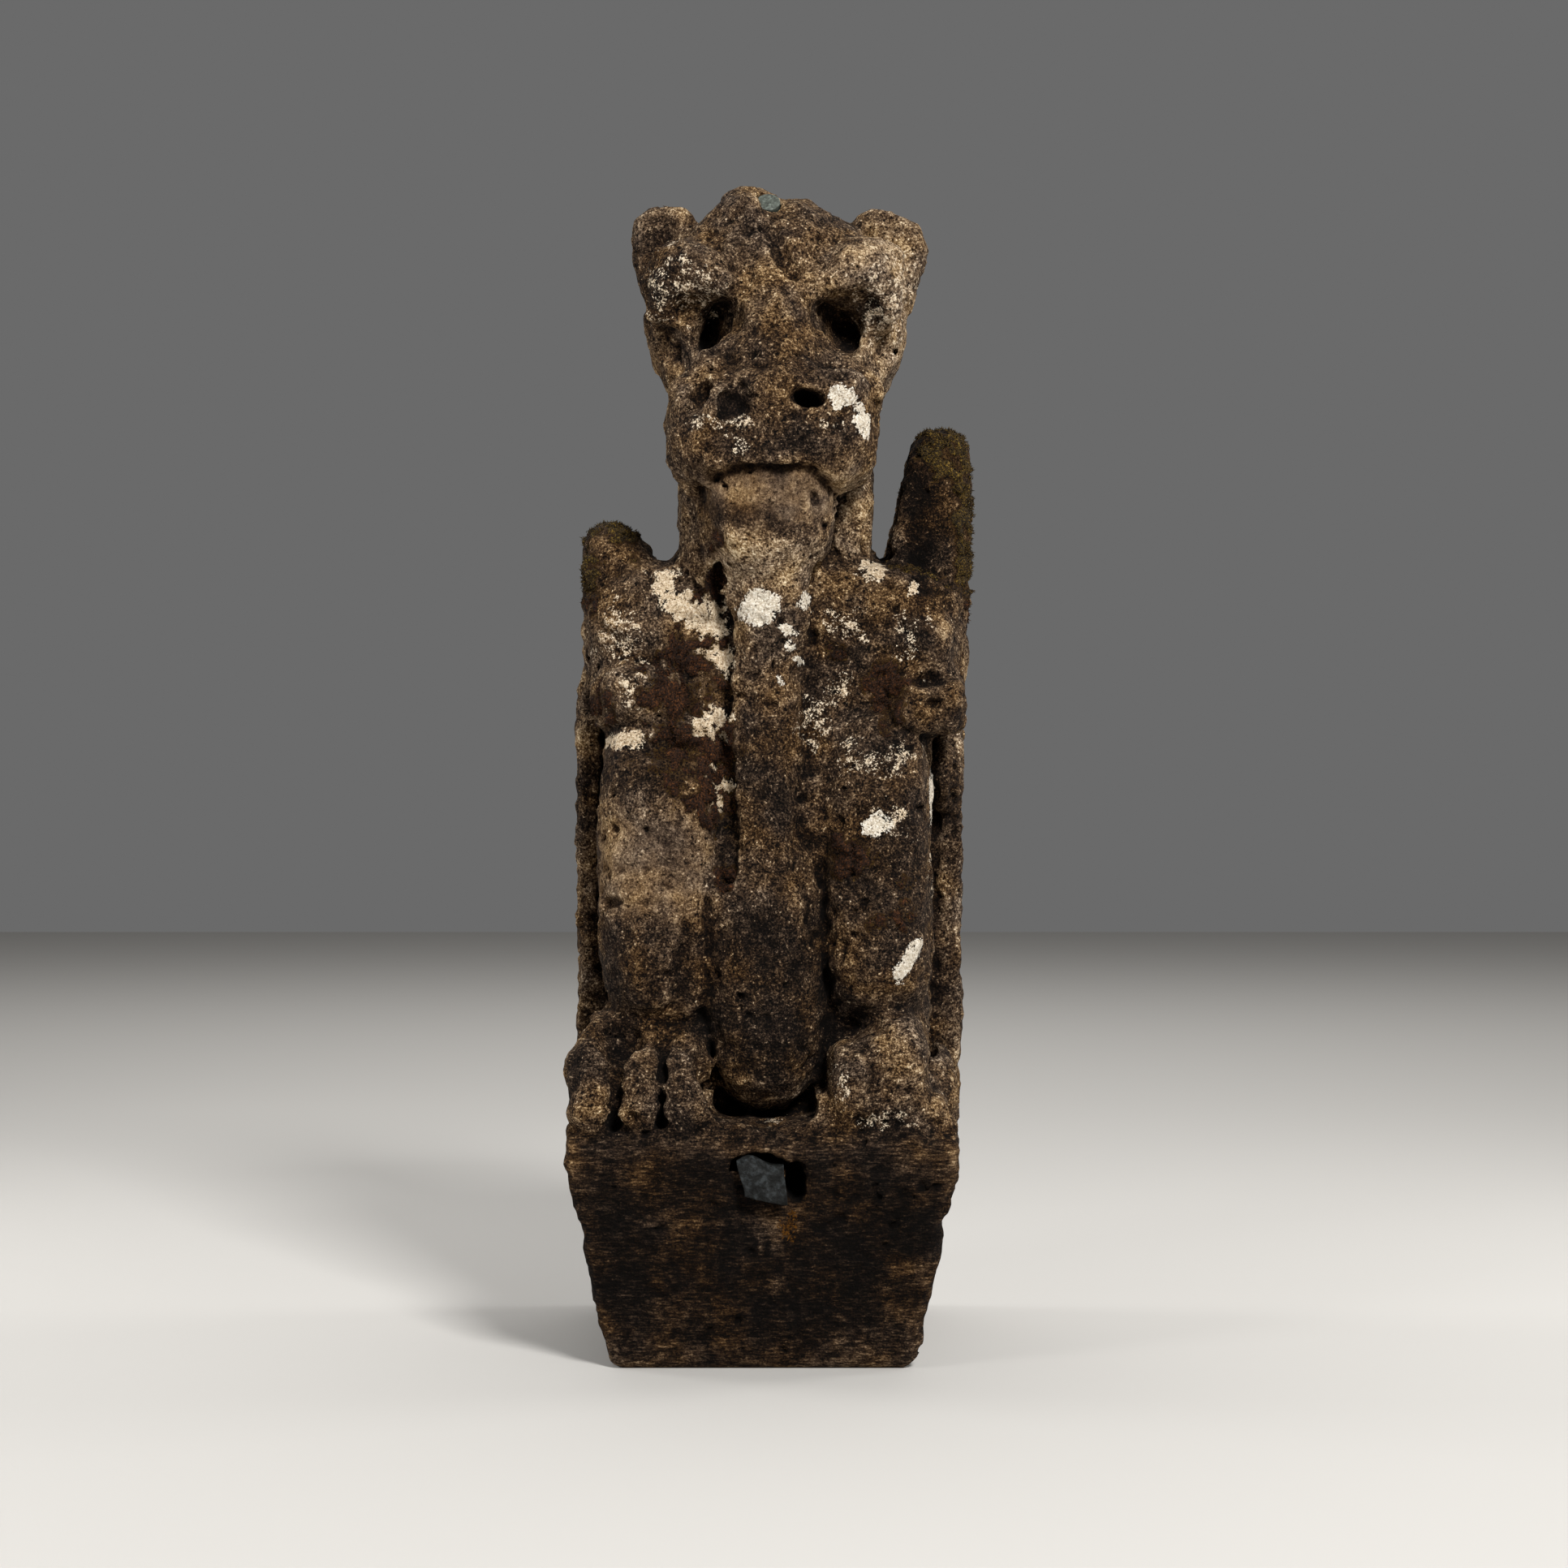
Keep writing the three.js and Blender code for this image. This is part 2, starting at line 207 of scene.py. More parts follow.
def bar(start, end, start_radius, end_radius, girth=(1, 1, 1), soft=8.0, cut=False):
    """A round-ended bar. The nearest place along it is the offset times its direction, kept between
    the ends, and the distance is the way from there less the radius there."""
    girth = np.array(girth, float)
    start, end = on_stone(start), on_stone(end)
    radii = np.array((start_radius, end_radius)) * square
    reach = radii.max() * girth
    a, b = start / girth, end / girth
    run = b - a

    def distance(x, y, z):
        offsets = [x / girth[0] - a[0], y / girth[1] - a[1], z / girth[2] - a[2]]
        along = np.clip(sum(o * r for o, r in zip(offsets, run)) / (run @ run), 0, 1)
        away = np.sqrt(sum((o - along * r) ** 2 for o, r in zip(offsets, run)))
        return ((away - radii[0] - along * (radii[1] - radii[0])) * girth.min()).astype(np.float32)

    carve(distance, np.minimum(start, end) - reach, np.maximum(start, end) + reach, soft, cut)


def ridge(points, radii, **how):
    """A run of bars through several points, each with its radius."""
    for i in range(len(points) - 1):
        bar(points[i], points[i + 1], radii[i], radii[i + 1], **how)


def groove(points, radii, soft):
    """A ridge, cut out."""
    ridge(points, radii, soft=soft, cut=True)


def scoop(middle, radii, soft, turn=(0, 0, 0), boxy=2.0):
    """A lump, cut out."""
    lump(middle, radii, turn, boxy, soft, cut=True)


def rounded(past, edge):
    """Distance to a form with rounded edges. past holds how far a point is past each pair of faces, set
    in by the edge radius: the length of what is positive, plus what is negative, less the radius."""
    outside = np.sqrt(sum(np.maximum(q, 0) ** 2 for q in past))
    inside = np.minimum(np.maximum.reduce(np.broadcast_arrays(*past)), 0)
    return (outside + inside - edge).astype(np.float32)


def boulder(middle, halves, edge):
    """A block with rounded edges."""
    middle = on_stone(middle)
    halves = np.array(halves, float) * square

    def distance(x, y, z):
        return rounded([np.abs(p - m) - h + edge for p, m, h in zip((x, y, z), middle, halves)], edge)

    carve(distance, middle - halves, middle + halves, 8)


def polygon_distance(outline, y, z):
    """Distance to a closed outline in Y and Z, negative inside: the nearest of its edges, with a
    point inside where a line from it crosses an odd number of edges."""
    nearest = np.full(np.broadcast(y, z).shape, 1e9)
    inside = np.zeros(nearest.shape, bool)
    for a, b in zip(outline, np.roll(outline, -1, axis=0)):
        edge = b - a
        t = np.clip(((y - a[0]) * edge[0] + (z - a[1]) * edge[1]) / (edge @ edge), 0, 1)
        nearest = np.minimum(nearest, (y - a[0] - t * edge[0]) ** 2 + (z - a[1] - t * edge[1]) ** 2)
        if a[1] != b[1]:
            crosses = (a[1] > z) != (b[1] > z)
            inside ^= crosses & (y < edge[0] * (z - a[1]) / edge[1] + a[0])
    return np.where(inside, -1, 1) * np.sqrt(nearest)


def blade(outline, middle, width, edge, lean=0.0, *, soft):
    """A slab across X with an outline in Y and Z and rounded edges. Its middle moves by lean times
    the height over its lowest point."""
    outline = np.array([on_stone((0, y, z))[1:] for y, z in outline])
    middle, half = middle * square, width * square / 2
    foot = outline[:, 1].min()

    def distance(x, y, z):
        side = np.abs(x - middle - lean * (z - foot)) - half
        return rounded([polygon_distance(outline, y, z) + edge, side + edge], edge)

    shift = lean * (outline[:, 1].max() - foot)
    low = np.array((middle - half + min(shift, 0), *outline.min(axis=0)))
    high = np.array((middle + half + max(shift, 0), *outline.max(axis=0)))
    carve(distance, low, high, soft)


# %% [markdown]
# ## The beast
#
# The forms are those of the solid, in the same squares, so the carving sits exactly where the solid
# says. The soft joins give what weather gives: no hard line between cheek and neck, but still a
# crease where a leg meets the belly.

# %% Trunk, chest and belly
boulder((6, 72, 220), (158, 103, 240), 12)
lump((8, -30, 190), (132, 92, 240), boxy=6)
lump((6, -62, 268), (130, 80, 84), boxy=4)
lump((12, -50, 391), (156, 78, 72), boxy=5)
lump((12, -34, 446), (100, 72, 36), boxy=3)
boulder((0, -36, 5), (150, 136, 20), 12)
bar((4, -125, 468), (2, -129, 190), 32, 33, soft=7)
lump((-1, -88, 150), (56, 78, 96), boxy=3, soft=7)


# %% Haunches and feet
def haunch(middle, half_width, knee_height):
    """A thigh, drawn up so that the knee points forward and down."""
    lump((middle, -72, 212), (half_width, 90, 138), boxy=3.4, soft=5)
    lump((middle, -92, knee_height + 72), (half_width * 0.9, 74, 76), boxy=2.4, soft=8)
    bar((middle, -78, 110), (middle, -98, 24), half_width * 0.7, half_width * 0.76, soft=6)


haunch(-82, 54, 78)
haunch(94, 47, 82)

toe_middles = (-138, -99, -64)
lump((-100, -92, 50), (48, 58, 48), boxy=2.6, soft=8)
for i, x in enumerate(toe_middles):
    bar((x + 12 - i * 5, -108, 74), (x, -150, 44), 19, 21, soft=6)
    bar((x, -150, 44), (x, -168, 14), 21, 20, girth=(1, 1, 1.1), soft=6)
lump((106, -110, 38), (30, 68, 54), boxy=3.4, soft=8)
lump((74, -128, 30), (19, 58, 38), boxy=3, soft=4)
bar((112, -142, 12), (145, -158, -4), 24, 14, soft=12)
lump((148, -58, 22), (16, 60, 36), soft=8)

# %% Arms, wings and feathers
lump((-97, -108, 352), (36, 44, 30), boxy=3, soft=5)
lump((-130, -88, 350), (14, 40, 26), soft=5)
ridge([(-137, -70, 432), (-118, -110, 408), (-78, -116, 396)], (15, 14, 12), soft=12)
lump((136, -102, 345), (32, 48, 25), boxy=4, soft=4)
lump((138, -92, 388), (23, 40, 38), boxy=3, soft=5)
ridge([(154, -90, 438), (120, -112, 402), (84, -118, 380)], (13, 15, 13), soft=10)


def arc(start, pull, end, steps=8):
    """Points of a curve from start to end: (1-t)^2 of the start, 2t(1-t) of the pull, t^2 of the end."""
    t = np.linspace(0, 1, steps)[1:, None]
    return (1 - t) ** 2 * np.array(start) + 2 * t * (1 - t) * np.array(pull) + t ** 2 * np.array(end)


def wing_outline(top, back):
    """The outline of a wing's blade: up the front, over the tip, down the long back edge."""
    tip, shoulder, heel = (-66, top), (34, back), (172, 452)
    return np.vstack([
        [(-72, 360), (-92, 430)],
        arc((-92, 430), (-112, top - 12), tip),
        arc(tip, (-16, top + 6), shoulder),
        arc(shoulder, (110, back - 24), heel),
        [(172, 360)]])


blade(wing_outline(577, 556), 151, 44, 19, soft=6)
blade(wing_outline(568, 548), 107, 46, 10, lean=0.21, soft=10)
blade(wing_outline(498, 484), -131, 36, 16, soft=6)
blade(wing_outline(484, 474), -100, 40, 10, lean=-0.14, soft=14)
lump((154, -40, 285), (12, 30, 32), soft=4)
lump((152, -74, 14), (14, 40, 14), soft=5)

for side, flank in ((-1, -148), (1, 160)):
    for i in range(4):
        lump((flank, -8 + i * 44, 172 - i * 5), (10, 29, 190 - i * 4), (3, 0, 0), 4, soft=3)
    for i in range(3):
        lump((flank - side * 2, 2 + i * 56, 318 - i * 14), (15, 38, 66), (6, 0, 0), soft=3)
    quill = flank + side * 8
    for i, tip in enumerate((500, 480, 450, 425)):
        back = 6 + i * 42
        lower = [(quill, back, 24), (quill, back, 210), (quill, back - 8, 330)]
        upper = [(quill + side * 3, back - 12, 345), (quill + side * 2, back - 34, tip)]
        groove(lower, (4, 6, 6), 3)
        groove(upper, (7, 4), 3)

# %% Neck, jaw and skull
lump((12, -14, 520), (81, 62, 110), boxy=5)
bar((-38, -104, 560), (-42, -96, 440), 24, 30)
bar((70, -84, 560), (70, -84, 440), 18, 24)

lump((11, -60, 672), (108, 92, 86), boxy=2.6)
lump((12, -72, 622), (88, 76, 56), boxy=2.4)
lump((12, -14, 640), (88, 60, 100), boxy=4)
lump((-10, -84, 738), (33, 45, 42), soft=14)
lump((32, -84, 734), (31, 43, 37), soft=14)
lump((-52, -112, 704), (42, 50, 25), (0, 14, 0), soft=7)
lump((76, -112, 704), (42, 50, 25), (0, -12, 0), soft=7)
lump((-80, -58, 722), (29, 27, 46), (0, -6, 0), 2.8)
lump((101, -58, 719), (34, 27, 43), (0, 16, 0), 3)

# %% Muzzle
bar((12, -112, 712), (11, -146, 622), 36, 46, soft=10)
lump((10, -128, 602), (66, 66, 36), (12, 0, 0), 3)
lump((8, -138, 567), (86, 72, 50), boxy=3.4, soft=6)
lump((10, -172, 592), (42, 42, 33), soft=14)
ridge([(-14, -146, 652), (-44, -162, 616), (-60, -170, 590)], (14, 13, 13), soft=5)
ridge([(38, -144, 652), (56, -160, 624), (72, -168, 590)], (14, 13, 13), soft=5)
lump((62, -188, 596), (23, 20, 20), soft=6)
lump((-38, -188, 592), (21, 18, 17), soft=8)

# %% Sockets, nostrils and the hollows between the legs
scoop((-33, -148, 653), (12, 60, 25), 4, (0, 12, 14), 2.4)
scoop((-52, -158, 652), (30, 36, 32), 10)
scoop((59, -148, 655), (14, 60, 23), 4, (0, -22, -14), 2.4)
scoop((78, -156, 650), (28, 36, 32), 10)
scoop((38, -212, 588), (15, 34, 10), 3, (0, 20, 0))
scoop((-24, -218, 584), (17, 24, 17), 6)
scoop((-96, -160, 638), (46, 62, 40), 4, (0, 34, 0))
scoop((116, -160, 636), (46, 62, 40), 4, (0, -34, 0))
groove([(6, -140, 736), (20, -154, 706), (27, -154, 697)], (8, 7, 6), 5)
groove([(28, -154, 699), (46, -158, 708)], (6, 6), 5)
groove([(24, -126, 782), (25, -136, 750)], (6, 5), 5)
groove([(-62, -112, 736), (-74, -114, 722), (-92, -98, 702)], (4, 5, 5), 4)
groove([(84, -112, 734), (98, -112, 718), (114, -96, 704)], (4, 5, 5), 4)
scoop((-48, -196, 593), (11, 13, 12), 6)
scoop((-81, -98, 731), (24, 21, 35), 8, (0, -6, 0))
scoop((101, -96, 728), (25, 20, 33), 8, (0, 20, 0))
scoop((8, -214, 508), (58, 70, 32), 3, boxy=2.6)
groove([(-50, -172, 74), (-38, -150, 18)], (15, 18), 4)
scoop((2, -150, 16), (48, 60, 20), 5, boxy=3)
groove([(50, -164, 84), (42, -150, 18)], (10, 15), 4)

# %% What stands in front of the hollows
ridge([(-20, -152, 642), (-42, -166, 620), (-62, -166, 600)], (10, 12, 14))
ridge([(45, -150, 640), (68, -160, 614), (86, -162, 600)], (9, 12, 14))
ridge([(-84, -128, 668), (-80, -136, 690), (-56, -148, 700), (-34, -152, 694)], (9, 11, 12, 9))
ridge([(106, -128, 668), (102, -134, 690), (80, -146, 700), (50, -152, 690)], (9, 11, 12, 9))
lump((6, -126, 512), (50, 70, 54), boxy=3, soft=2)
bar((6, -146, 500), (8, -134, 420), 44, 31, soft=24)
bar((-40, -124, 532), (-34, -118, 440), 19, 22, soft=22)
lump((3, -106, 92), (47, 64, 82), boxy=2.4, soft=4)
groove([(-55, -172, 70), (-40, -166, 26)], (8, 10), 3)

# %% Grooves and undercuts
groove([(-31, -136, 458), (-30, -136, 330), (-30, -152, 200)], (10, 9, 9), 3)
groove([(42, -138, 455), (41, -140, 340), (42, -156, 220), (48, -156, 150)], (10, 9, 10, 10), 4)
groove([(-60, -166, 172), (-61, -166, 125), (-66, -158, 86)], (6, 13, 16), 3)
groove([(54, -168, 168), (53, -168, 120), (60, -166, 98), (86, -166, 88)], (6, 12, 17, 12), 3)
scoop((-85, -176, 310), (58, 34, 13), 10)
groove([(-122, -162, 80), (-66, -164, 74)], (8, 12), 5)
scoop((75, -168, 86), (27, 40, 15), 4, (0, 8, 0))
groove([(112, -154, 311), (166, -140, 311)], (9, 9), 2)
scoop((102, -146, 364), (16, 14, 26), 8)
scoop((138, -140, 366), (16, 16, 8), 4)
scoop((141, -150, 345), (8, 10, 5), 3)
groove([(-142, -116, 414), (-118, -130, 394), (-88, -134, 382)], (5, 6, 5), 5)
for x, foot in ((-119, 12), (-82, 10)):
    groove([(x, -174, foot), (x + 1, -168, 40), (x + 3, -150, 68)], (8, 5, 4), 2)
groove([(83, -188, 58), (82, -188, 2)], (4, 5), 2)
groove([(-154, -150, 124), (-116, -152, 68)], (18, 18), 8)
groove([(61, -118, 545), (60, -118, 500), (54, -122, 462)], (6, 6, 5), 3)
for height in (482, 497, 511, 524):
    groove([(66, -112, height), (90, -98, height - 5)], (4, 3), 3)
scoop((142, -66, 118), (7, 30, 18), 3)
scoop((142, -66, 60), (7, 30, 24), 3)

# %% [markdown]
# ## The block
#
# The block narrows towards its foot, its front leans back and its back is upright. Its half width is
# a function of height, so one distance covers it.

# %% Block, hole and dowel seat
stone_depth = 380.0
front_lean = 35.0
block_edge = 9.0
worn_lip = 12.0
heights = np.array((0, 12, 60, 118, 158, 200), float)
half_widths = np.array((123, 127, 138, 146, 158, 161), float)


def front_at(height):
    """Where the block's leaning front is at a height."""
    return -stone_depth / 2 + front_lean * (1 - height / ledge)


def block_distance(x, y, z):
    """A boulder whose half width and front follow the height, with its upper front edge worn low."""
    half = np.interp(z, heights, half_widths)
    front = front_at(np.clip(z, 0, ledge))
    middle = (front + stone_depth / 2) / 2
    droop = worn_lip * step_up(-y, 150, 195) * (z > ledge / 2)
    return rounded([
        np.abs(x) - half + block_edge,
        np.abs(y - middle) - (stone_depth / 2 - front) / 2 + block_edge,
        np.abs(z - ledge / 2) - ledge / 2 + block_edge + droop], block_edge)


block_corner = np.array((half_widths.max(), stone_depth / 2, ledge))
carve(block_distance, block_corner * (-1, -1, 0), block_corner, 14)

sill_height = 165.0
hole_middle = -2.0
hole_half = 25.0
hole_top = 182.0
hole_depth = 70.0
arch_drop = 9.0


def hole_distance(x, y, z):
    """An arched slot over the sill: the largest of the distances to its sides, sill, arch and end."""
    across = np.abs(x - hole_middle) - hole_half
    arch = z - (hole_top - arch_drop * ((x - hole_middle) / hole_half) ** 2)
    end = y - (hole_depth - stone_depth / 2)
    parts = np.broadcast_arrays(across, sill_height - z, arch, end)
    return np.maximum.reduce(parts).astype(np.float32)


hole_low = np.array((hole_middle - hole_half, -25 - stone_depth / 2, sill_height))
hole_high = np.array((hole_middle + hole_half, hole_depth - stone_depth / 2, hole_top))
carve(hole_distance, hole_low, hole_high, 2, True)
scoop((28, -190, -43), (10.5, 60, 19), 7, boxy=2.2)
for x in (-119, -82):
    scoop((x, -172, 5), (6, 16, 9), 3)
scoop((78, -186, 4), (7, 14, 6), 3)

dowel_radius = 10.0
dowel_length = 34.0
seat_gap = 0.3
dowel_lean = math.radians(40)
dowel_axis = np.array((0, -math.cos(dowel_lean), math.sin(dowel_lean)))
dowel_face = np.array((5.0, -110.0, 963.0))


def seat_distance(x, y, z):
    """A round hole along the dowel's axis."""
    offsets = (x - dowel_face[0], y - dowel_face[1], z - dowel_face[2])
    along = sum(o * a for o, a in zip(offsets, dowel_axis))
    away = np.sqrt(sum((o - along * a) ** 2 for o, a in zip(offsets, dowel_axis)))
    deep_end = -along - (dowel_length + seat_gap)
    parts = np.broadcast_arrays(away - dowel_radius - seat_gap, deep_end, along - dowel_length)
    return np.maximum.reduce(parts).astype(np.float32)


carve(seat_distance, dowel_face - 40, dowel_face + 40, 1.5, True)


# %% [markdown]
# ## Weathering
#
# Limestone and sandstone don't wear evenly: soft beds sink, grains fall out, and pits open. Near the
# surface the distances are shifted by smooth noise of several sizes, with flat noise for the beds of
# the block and the belly. Where other noise is high, crust stands up or a pit goes in.

# %% Noise
def smooth_noise(points, size, seed):
    """Noise from -1 to 1. Random numbers stand at the corners of cells of the given size, and a point
    takes the mean of its 8 corners, weighted by 3t^2 - 2t^3 along each axis."""
    cells = points / np.asarray(size, np.float32)
    base = np.floor(cells).astype(np.int32)
    t = cells - base
    t = t * t * (3 - 2 * t)
    base -= base.min(axis=0)
    table = np.random.default_rng(seed).uniform(-1, 1, base.max(axis=0) + 2).astype(np.float32)
    total = np.zeros(len(points), np.float32)
    for corner in itertools.product((0, 1), repeat=3):
        weight = np.prod(np.where(corner, t, 1 - t), axis=1)
        total += weight * table[tuple((base + corner).T)]
    return total


# %% Wear of the surface
skin = 10.0
crust_height = 1.5
pit_depth = 4.5
near = np.argwhere(np.abs(stone) < skin)
points = np.stack([grid_lines[axis][near[:, axis]] for axis in range(3)], axis=1)
x, y, z = points.T

wear = 2.0 * smooth_noise(points, 48, 1) + 1.9 * smooth_noise(points, 21, 2)
wear += 1.5 * smooth_noise(points, 10, 3) + 1.1 * smooth_noise(points, 5.5, 4)
crusted = step_up(smooth_noise(points, 13, 8) + 0.5 * smooth_noise(points, 6, 9), 0.05, 0.4)
pitted = step_up(smooth_noise(points, 8.5, 10) + 0.4 * smooth_noise(points, 5, 11), 0.42, 0.8)
pitted *= step_up(smooth_noise(points, 40, 12), -0.35, 0.3)
wear += crust_height * crusted - pit_depth * pitted
beds = 0.6 * smooth_noise(points, (50, 50, 11), 5) + 0.5 * smooth_noise(points, (22, 22, 6), 6)
bedded = step_up(-z, -380, -300)
plain_back = step_up(y, 120, 170)
wear = wear * (1 - 0.5 * plain_back) + beds * bedded
wear *= step_up(z, 3, 14)
stone[tuple(near.T)] -= wear.astype(np.float32)
print("cells near the surface", len(near))


# %% The zero surface
def zero_surface(field, lines):
    """Vertices and quads where a field is zero. Each crossed cell gets one vertex, the mean of the
    places where its edges cross zero, and each crossed edge one quad through its four cells."""
    cells = np.array(field.shape) - 1
    total = np.zeros((3, cells.prod()))
    count = np.zeros(cells.prod())
    rings = []
    for axis in range(3):
        low, high = [slice(None)] * 3, [slice(None)] * 3
        low[axis], high[axis] = slice(0, -1), slice(1, None)
        a, b = field[tuple(low)], field[tuple(high)]
        crossed = (a < 0) != (b < 0)
        at = np.argwhere(crossed)
        a, b = a[crossed], b[crossed]
        place = at.astype(float)
        place[:, axis] += a / (a - b)
        ring = []
        for shift in ((-1, -1), (0, -1), (0, 0), (-1, 0)):
            cell = at.copy()
            cell[:, axis - 2] += shift[0]
            cell[:, axis - 1] += shift[1]
            flat = np.ravel_multi_index(cell.T, cells)
            count += np.bincount(flat, minlength=len(count))
            for row in range(3):
                total[row] += np.bincount(flat, weights=place[:, row], minlength=len(count))
            ring.append(flat)
        ring = np.stack(ring, axis=1)
        ring[a >= 0] = ring[a >= 0][:, ::-1]
        rings.append(ring)
    used = count > 0
    number = np.full(len(count), -1)
    number[used] = np.arange(used.sum())
    step = lines[0][1] - lines[0][0]
    corner = np.array([line[0] for line in lines])
    vertices = (total[:, used] / count[used]).T * step + corner
    return vertices, number[np.concatenate(rings)]


stone_points, stone_quads = zero_surface(stone, grid_lines)
print("surface", len(stone_points), "vertices", len(stone_quads), "quads")


# %% Meshes and objects
def mesh_from(name, points_mm, faces):
    """A mesh in metres from points in millimetres and an array of faces with equal corners."""
    mesh = bpy.data.meshes.new(name)
    corners = faces.shape[1]
    mesh.vertices.add(len(points_mm))
    mesh.vertices.foreach_set("co", (points_mm / 1000).astype(np.float32).ravel())
    mesh.loops.add(faces.size)
    mesh.loops.foreach_set("vertex_index", faces.astype(np.int32).ravel())
    mesh.polygons.add(len(faces))
    mesh.polygons.foreach_set("loop_start", np.arange(0, faces.size, corners, dtype=np.int32))
    mesh.update(calc_edges=True)
    mesh.validate()
    mesh.polygons.foreach_set("use_smooth", np.ones(len(faces), bool))
    return mesh


def placed(name, mesh):
    """An object at the origin that shows a mesh."""
    made = bpy.data.objects.new(name, mesh)
    bpy.context.collection.objects.link(made)
    return made


def applied(made):
    """Gives an object the mesh that its modifiers make, with smooth faces, and takes them off."""
    made.data = bpy.data.meshes.new_from_object(made.evaluated_get(bpy.context.evaluated_depsgraph_get()))
    made.modifiers.clear()
    made.data.polygons.foreach_set("use_smooth", np.ones(len(made.data.polygons), bool))


# %% The stone as a mesh
most_triangles = 195_000
carved = placed("carved_stone", mesh_from("carved_stone", stone_points, stone_quads))
thinned = carved.modifiers.new("thinned", "DECIMATE")
thinned.ratio = most_triangles / (2 * len(stone_quads))
thinned.use_collapse_triangulate = True
applied(carved)
print("stone", len(carved.data.vertices), "vertices", len(carved.data.polygons), "faces")

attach(carved, "root")
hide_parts("stone_gargoyle")

# %% [markdown]
# ## Where painted shade, crust and growth sit
#
# Every finish of the stone follows something: hollows and creases get painted shade and edges a
# painted highlight, moss likes level tops, lichen grows in round patches, and the foot of the block is
# darker, partly as damp and partly as painted shade.
# These are worked out per vertex as numbers from 0 to 1. The material breaks their borders up.

# %% How deep each vertex lies
def blurred_share(field, reach):
    """The share of solid stone in a cube around each cell, by running sums along each axis."""
    share = np.clip(0.5 - field / grid_step, 0, 1)
    width = 2 * reach + 1
    for axis in range(3):
        pad = [(0, 0)] * 3
        pad[axis] = (reach + 1, reach)
        run = np.cumsum(np.pad(share, pad, mode="edge"), axis=axis, dtype=np.float64)
        run = np.moveaxis(run, axis, 0)
        share = np.moveaxis((run[width:] - run[:-width]) / width, 0, axis).astype(np.float32)
    return share


def at_points(field, places):
    """The value of the grid cell nearest to each place."""
    cells = [
        np.clip(np.rint((places[:, axis] - grid_lines[axis][0]) / grid_step), 0, field.shape[axis] - 1)
        for axis in range(3)]
    return field[tuple(np.array(cells, int))]


def mesh_arrays(mesh):
    """The places in millimetres and the normals of a mesh's vertices."""
    places = np.empty(len(mesh.vertices) * 3, np.float32)
    normals = np.empty_like(places)
    mesh.vertices.foreach_get("co", places)
    mesh.vertices.foreach_get("normal", normals)
    return places.reshape(-1, 3) * 1000, normals.reshape(-1, 3)


def move(made, places):
    """Puts a mesh's vertices at places in millimetres."""
    made.data.vertices.foreach_set("co", (places / 1000).ravel())
    made.data.update()


def store(made, name, values):
    """Puts a number for each vertex into an attribute of a mesh."""
    layer = made.data.attributes.new(name, "FLOAT", "POINT")
    layer.data.foreach_set("value", values.astype(np.float32))


def stored(made, name):
    """The numbers of an attribute of a mesh."""
    values = np.empty(len(made.data.vertices), np.float32)
    made.data.attributes[name].data.foreach_get("value", values)
    return values


spots, facing = mesh_arrays(carved.data)
x, y, z = spots.T
close_share = at_points(blurred_share(stone, 3), spots)
wide_share = at_points(blurred_share(stone, 9), spots)
# How deep a vertex lies in a hollow or crease and how thin the stone is at an edge; they set painted shade
# and a painted highlight
painted_hollow_shade = step_up(wide_share, 0.55, 0.85)
painted_crease_shade = step_up(close_share, 0.53, 0.68)
edge = step_up(-close_share, -0.46, -0.30)
front = step_up(-y, 10, 80)
top = step_up(facing[:, 2], 0.45, 0.9)
print("painted_hollow_shade", round(float(painted_hollow_shade.mean()), 3), "edge", round(float(edge.mean()), 3))


# %% Patches
def patch(middle_x, middle_z, half_x, half_z, lean=0.0, *, ragged, soft, seed=10):
    """1 inside an ellipse seen from the front, 0 outside, by the distance from its middle in shares
    of its half sizes, with a ragged border from noise. lean turns it, in degrees."""
    across, up = x - middle_x, z - middle_z
    c, s = math.cos(math.radians(lean)), math.sin(math.radians(lean))
    share = np.hypot((across * c + up * s) / half_x, (up * c - across * s) / half_z)
    share += ragged * (smooth_noise(spots, 14, seed) + 0.7 * smooth_noise(spots, 6, seed + 1))
    share += 0.6 * ragged * smooth_noise(spots, 3.6, seed + 2)
    return (1 - step_up(share, 1 - soft / 2, 1 + soft / 2)) * front


def patches(rows, **how):
    """The strongest of several patches at each vertex."""
    return np.maximum.reduce([patch(*row, seed=20 + 2 * i, **how) for i, row in enumerate(rows)])


# %% Light and dark stone
# The jaw's front: cleaner stone with less speckle, and also painted lighter as painted light from above
jaw_front = step_up(-y, 125, 145) * step_up(y, -205, -200)
clean_jaw_and_painted_light = patch(7, 719, 60, 30, ragged=0.12, soft=0.8) * jaw_front
clean_haunch = patch(-92, 410, 48, 42, ragged=0.3, soft=0.7)
block_share = step_up(-z, -205, -180)
speckle = 1.75 * (1 - 0.55 * clean_jaw_and_painted_light) * (1 - 0.4 * clean_haunch) * (1 - 0.55 * block_share)
# Each vertex's tone: the stone's own tone, with painted shade and painted light added to it below
stone_tone_and_painted_light = np.full(len(spots), 0.44, np.float32)
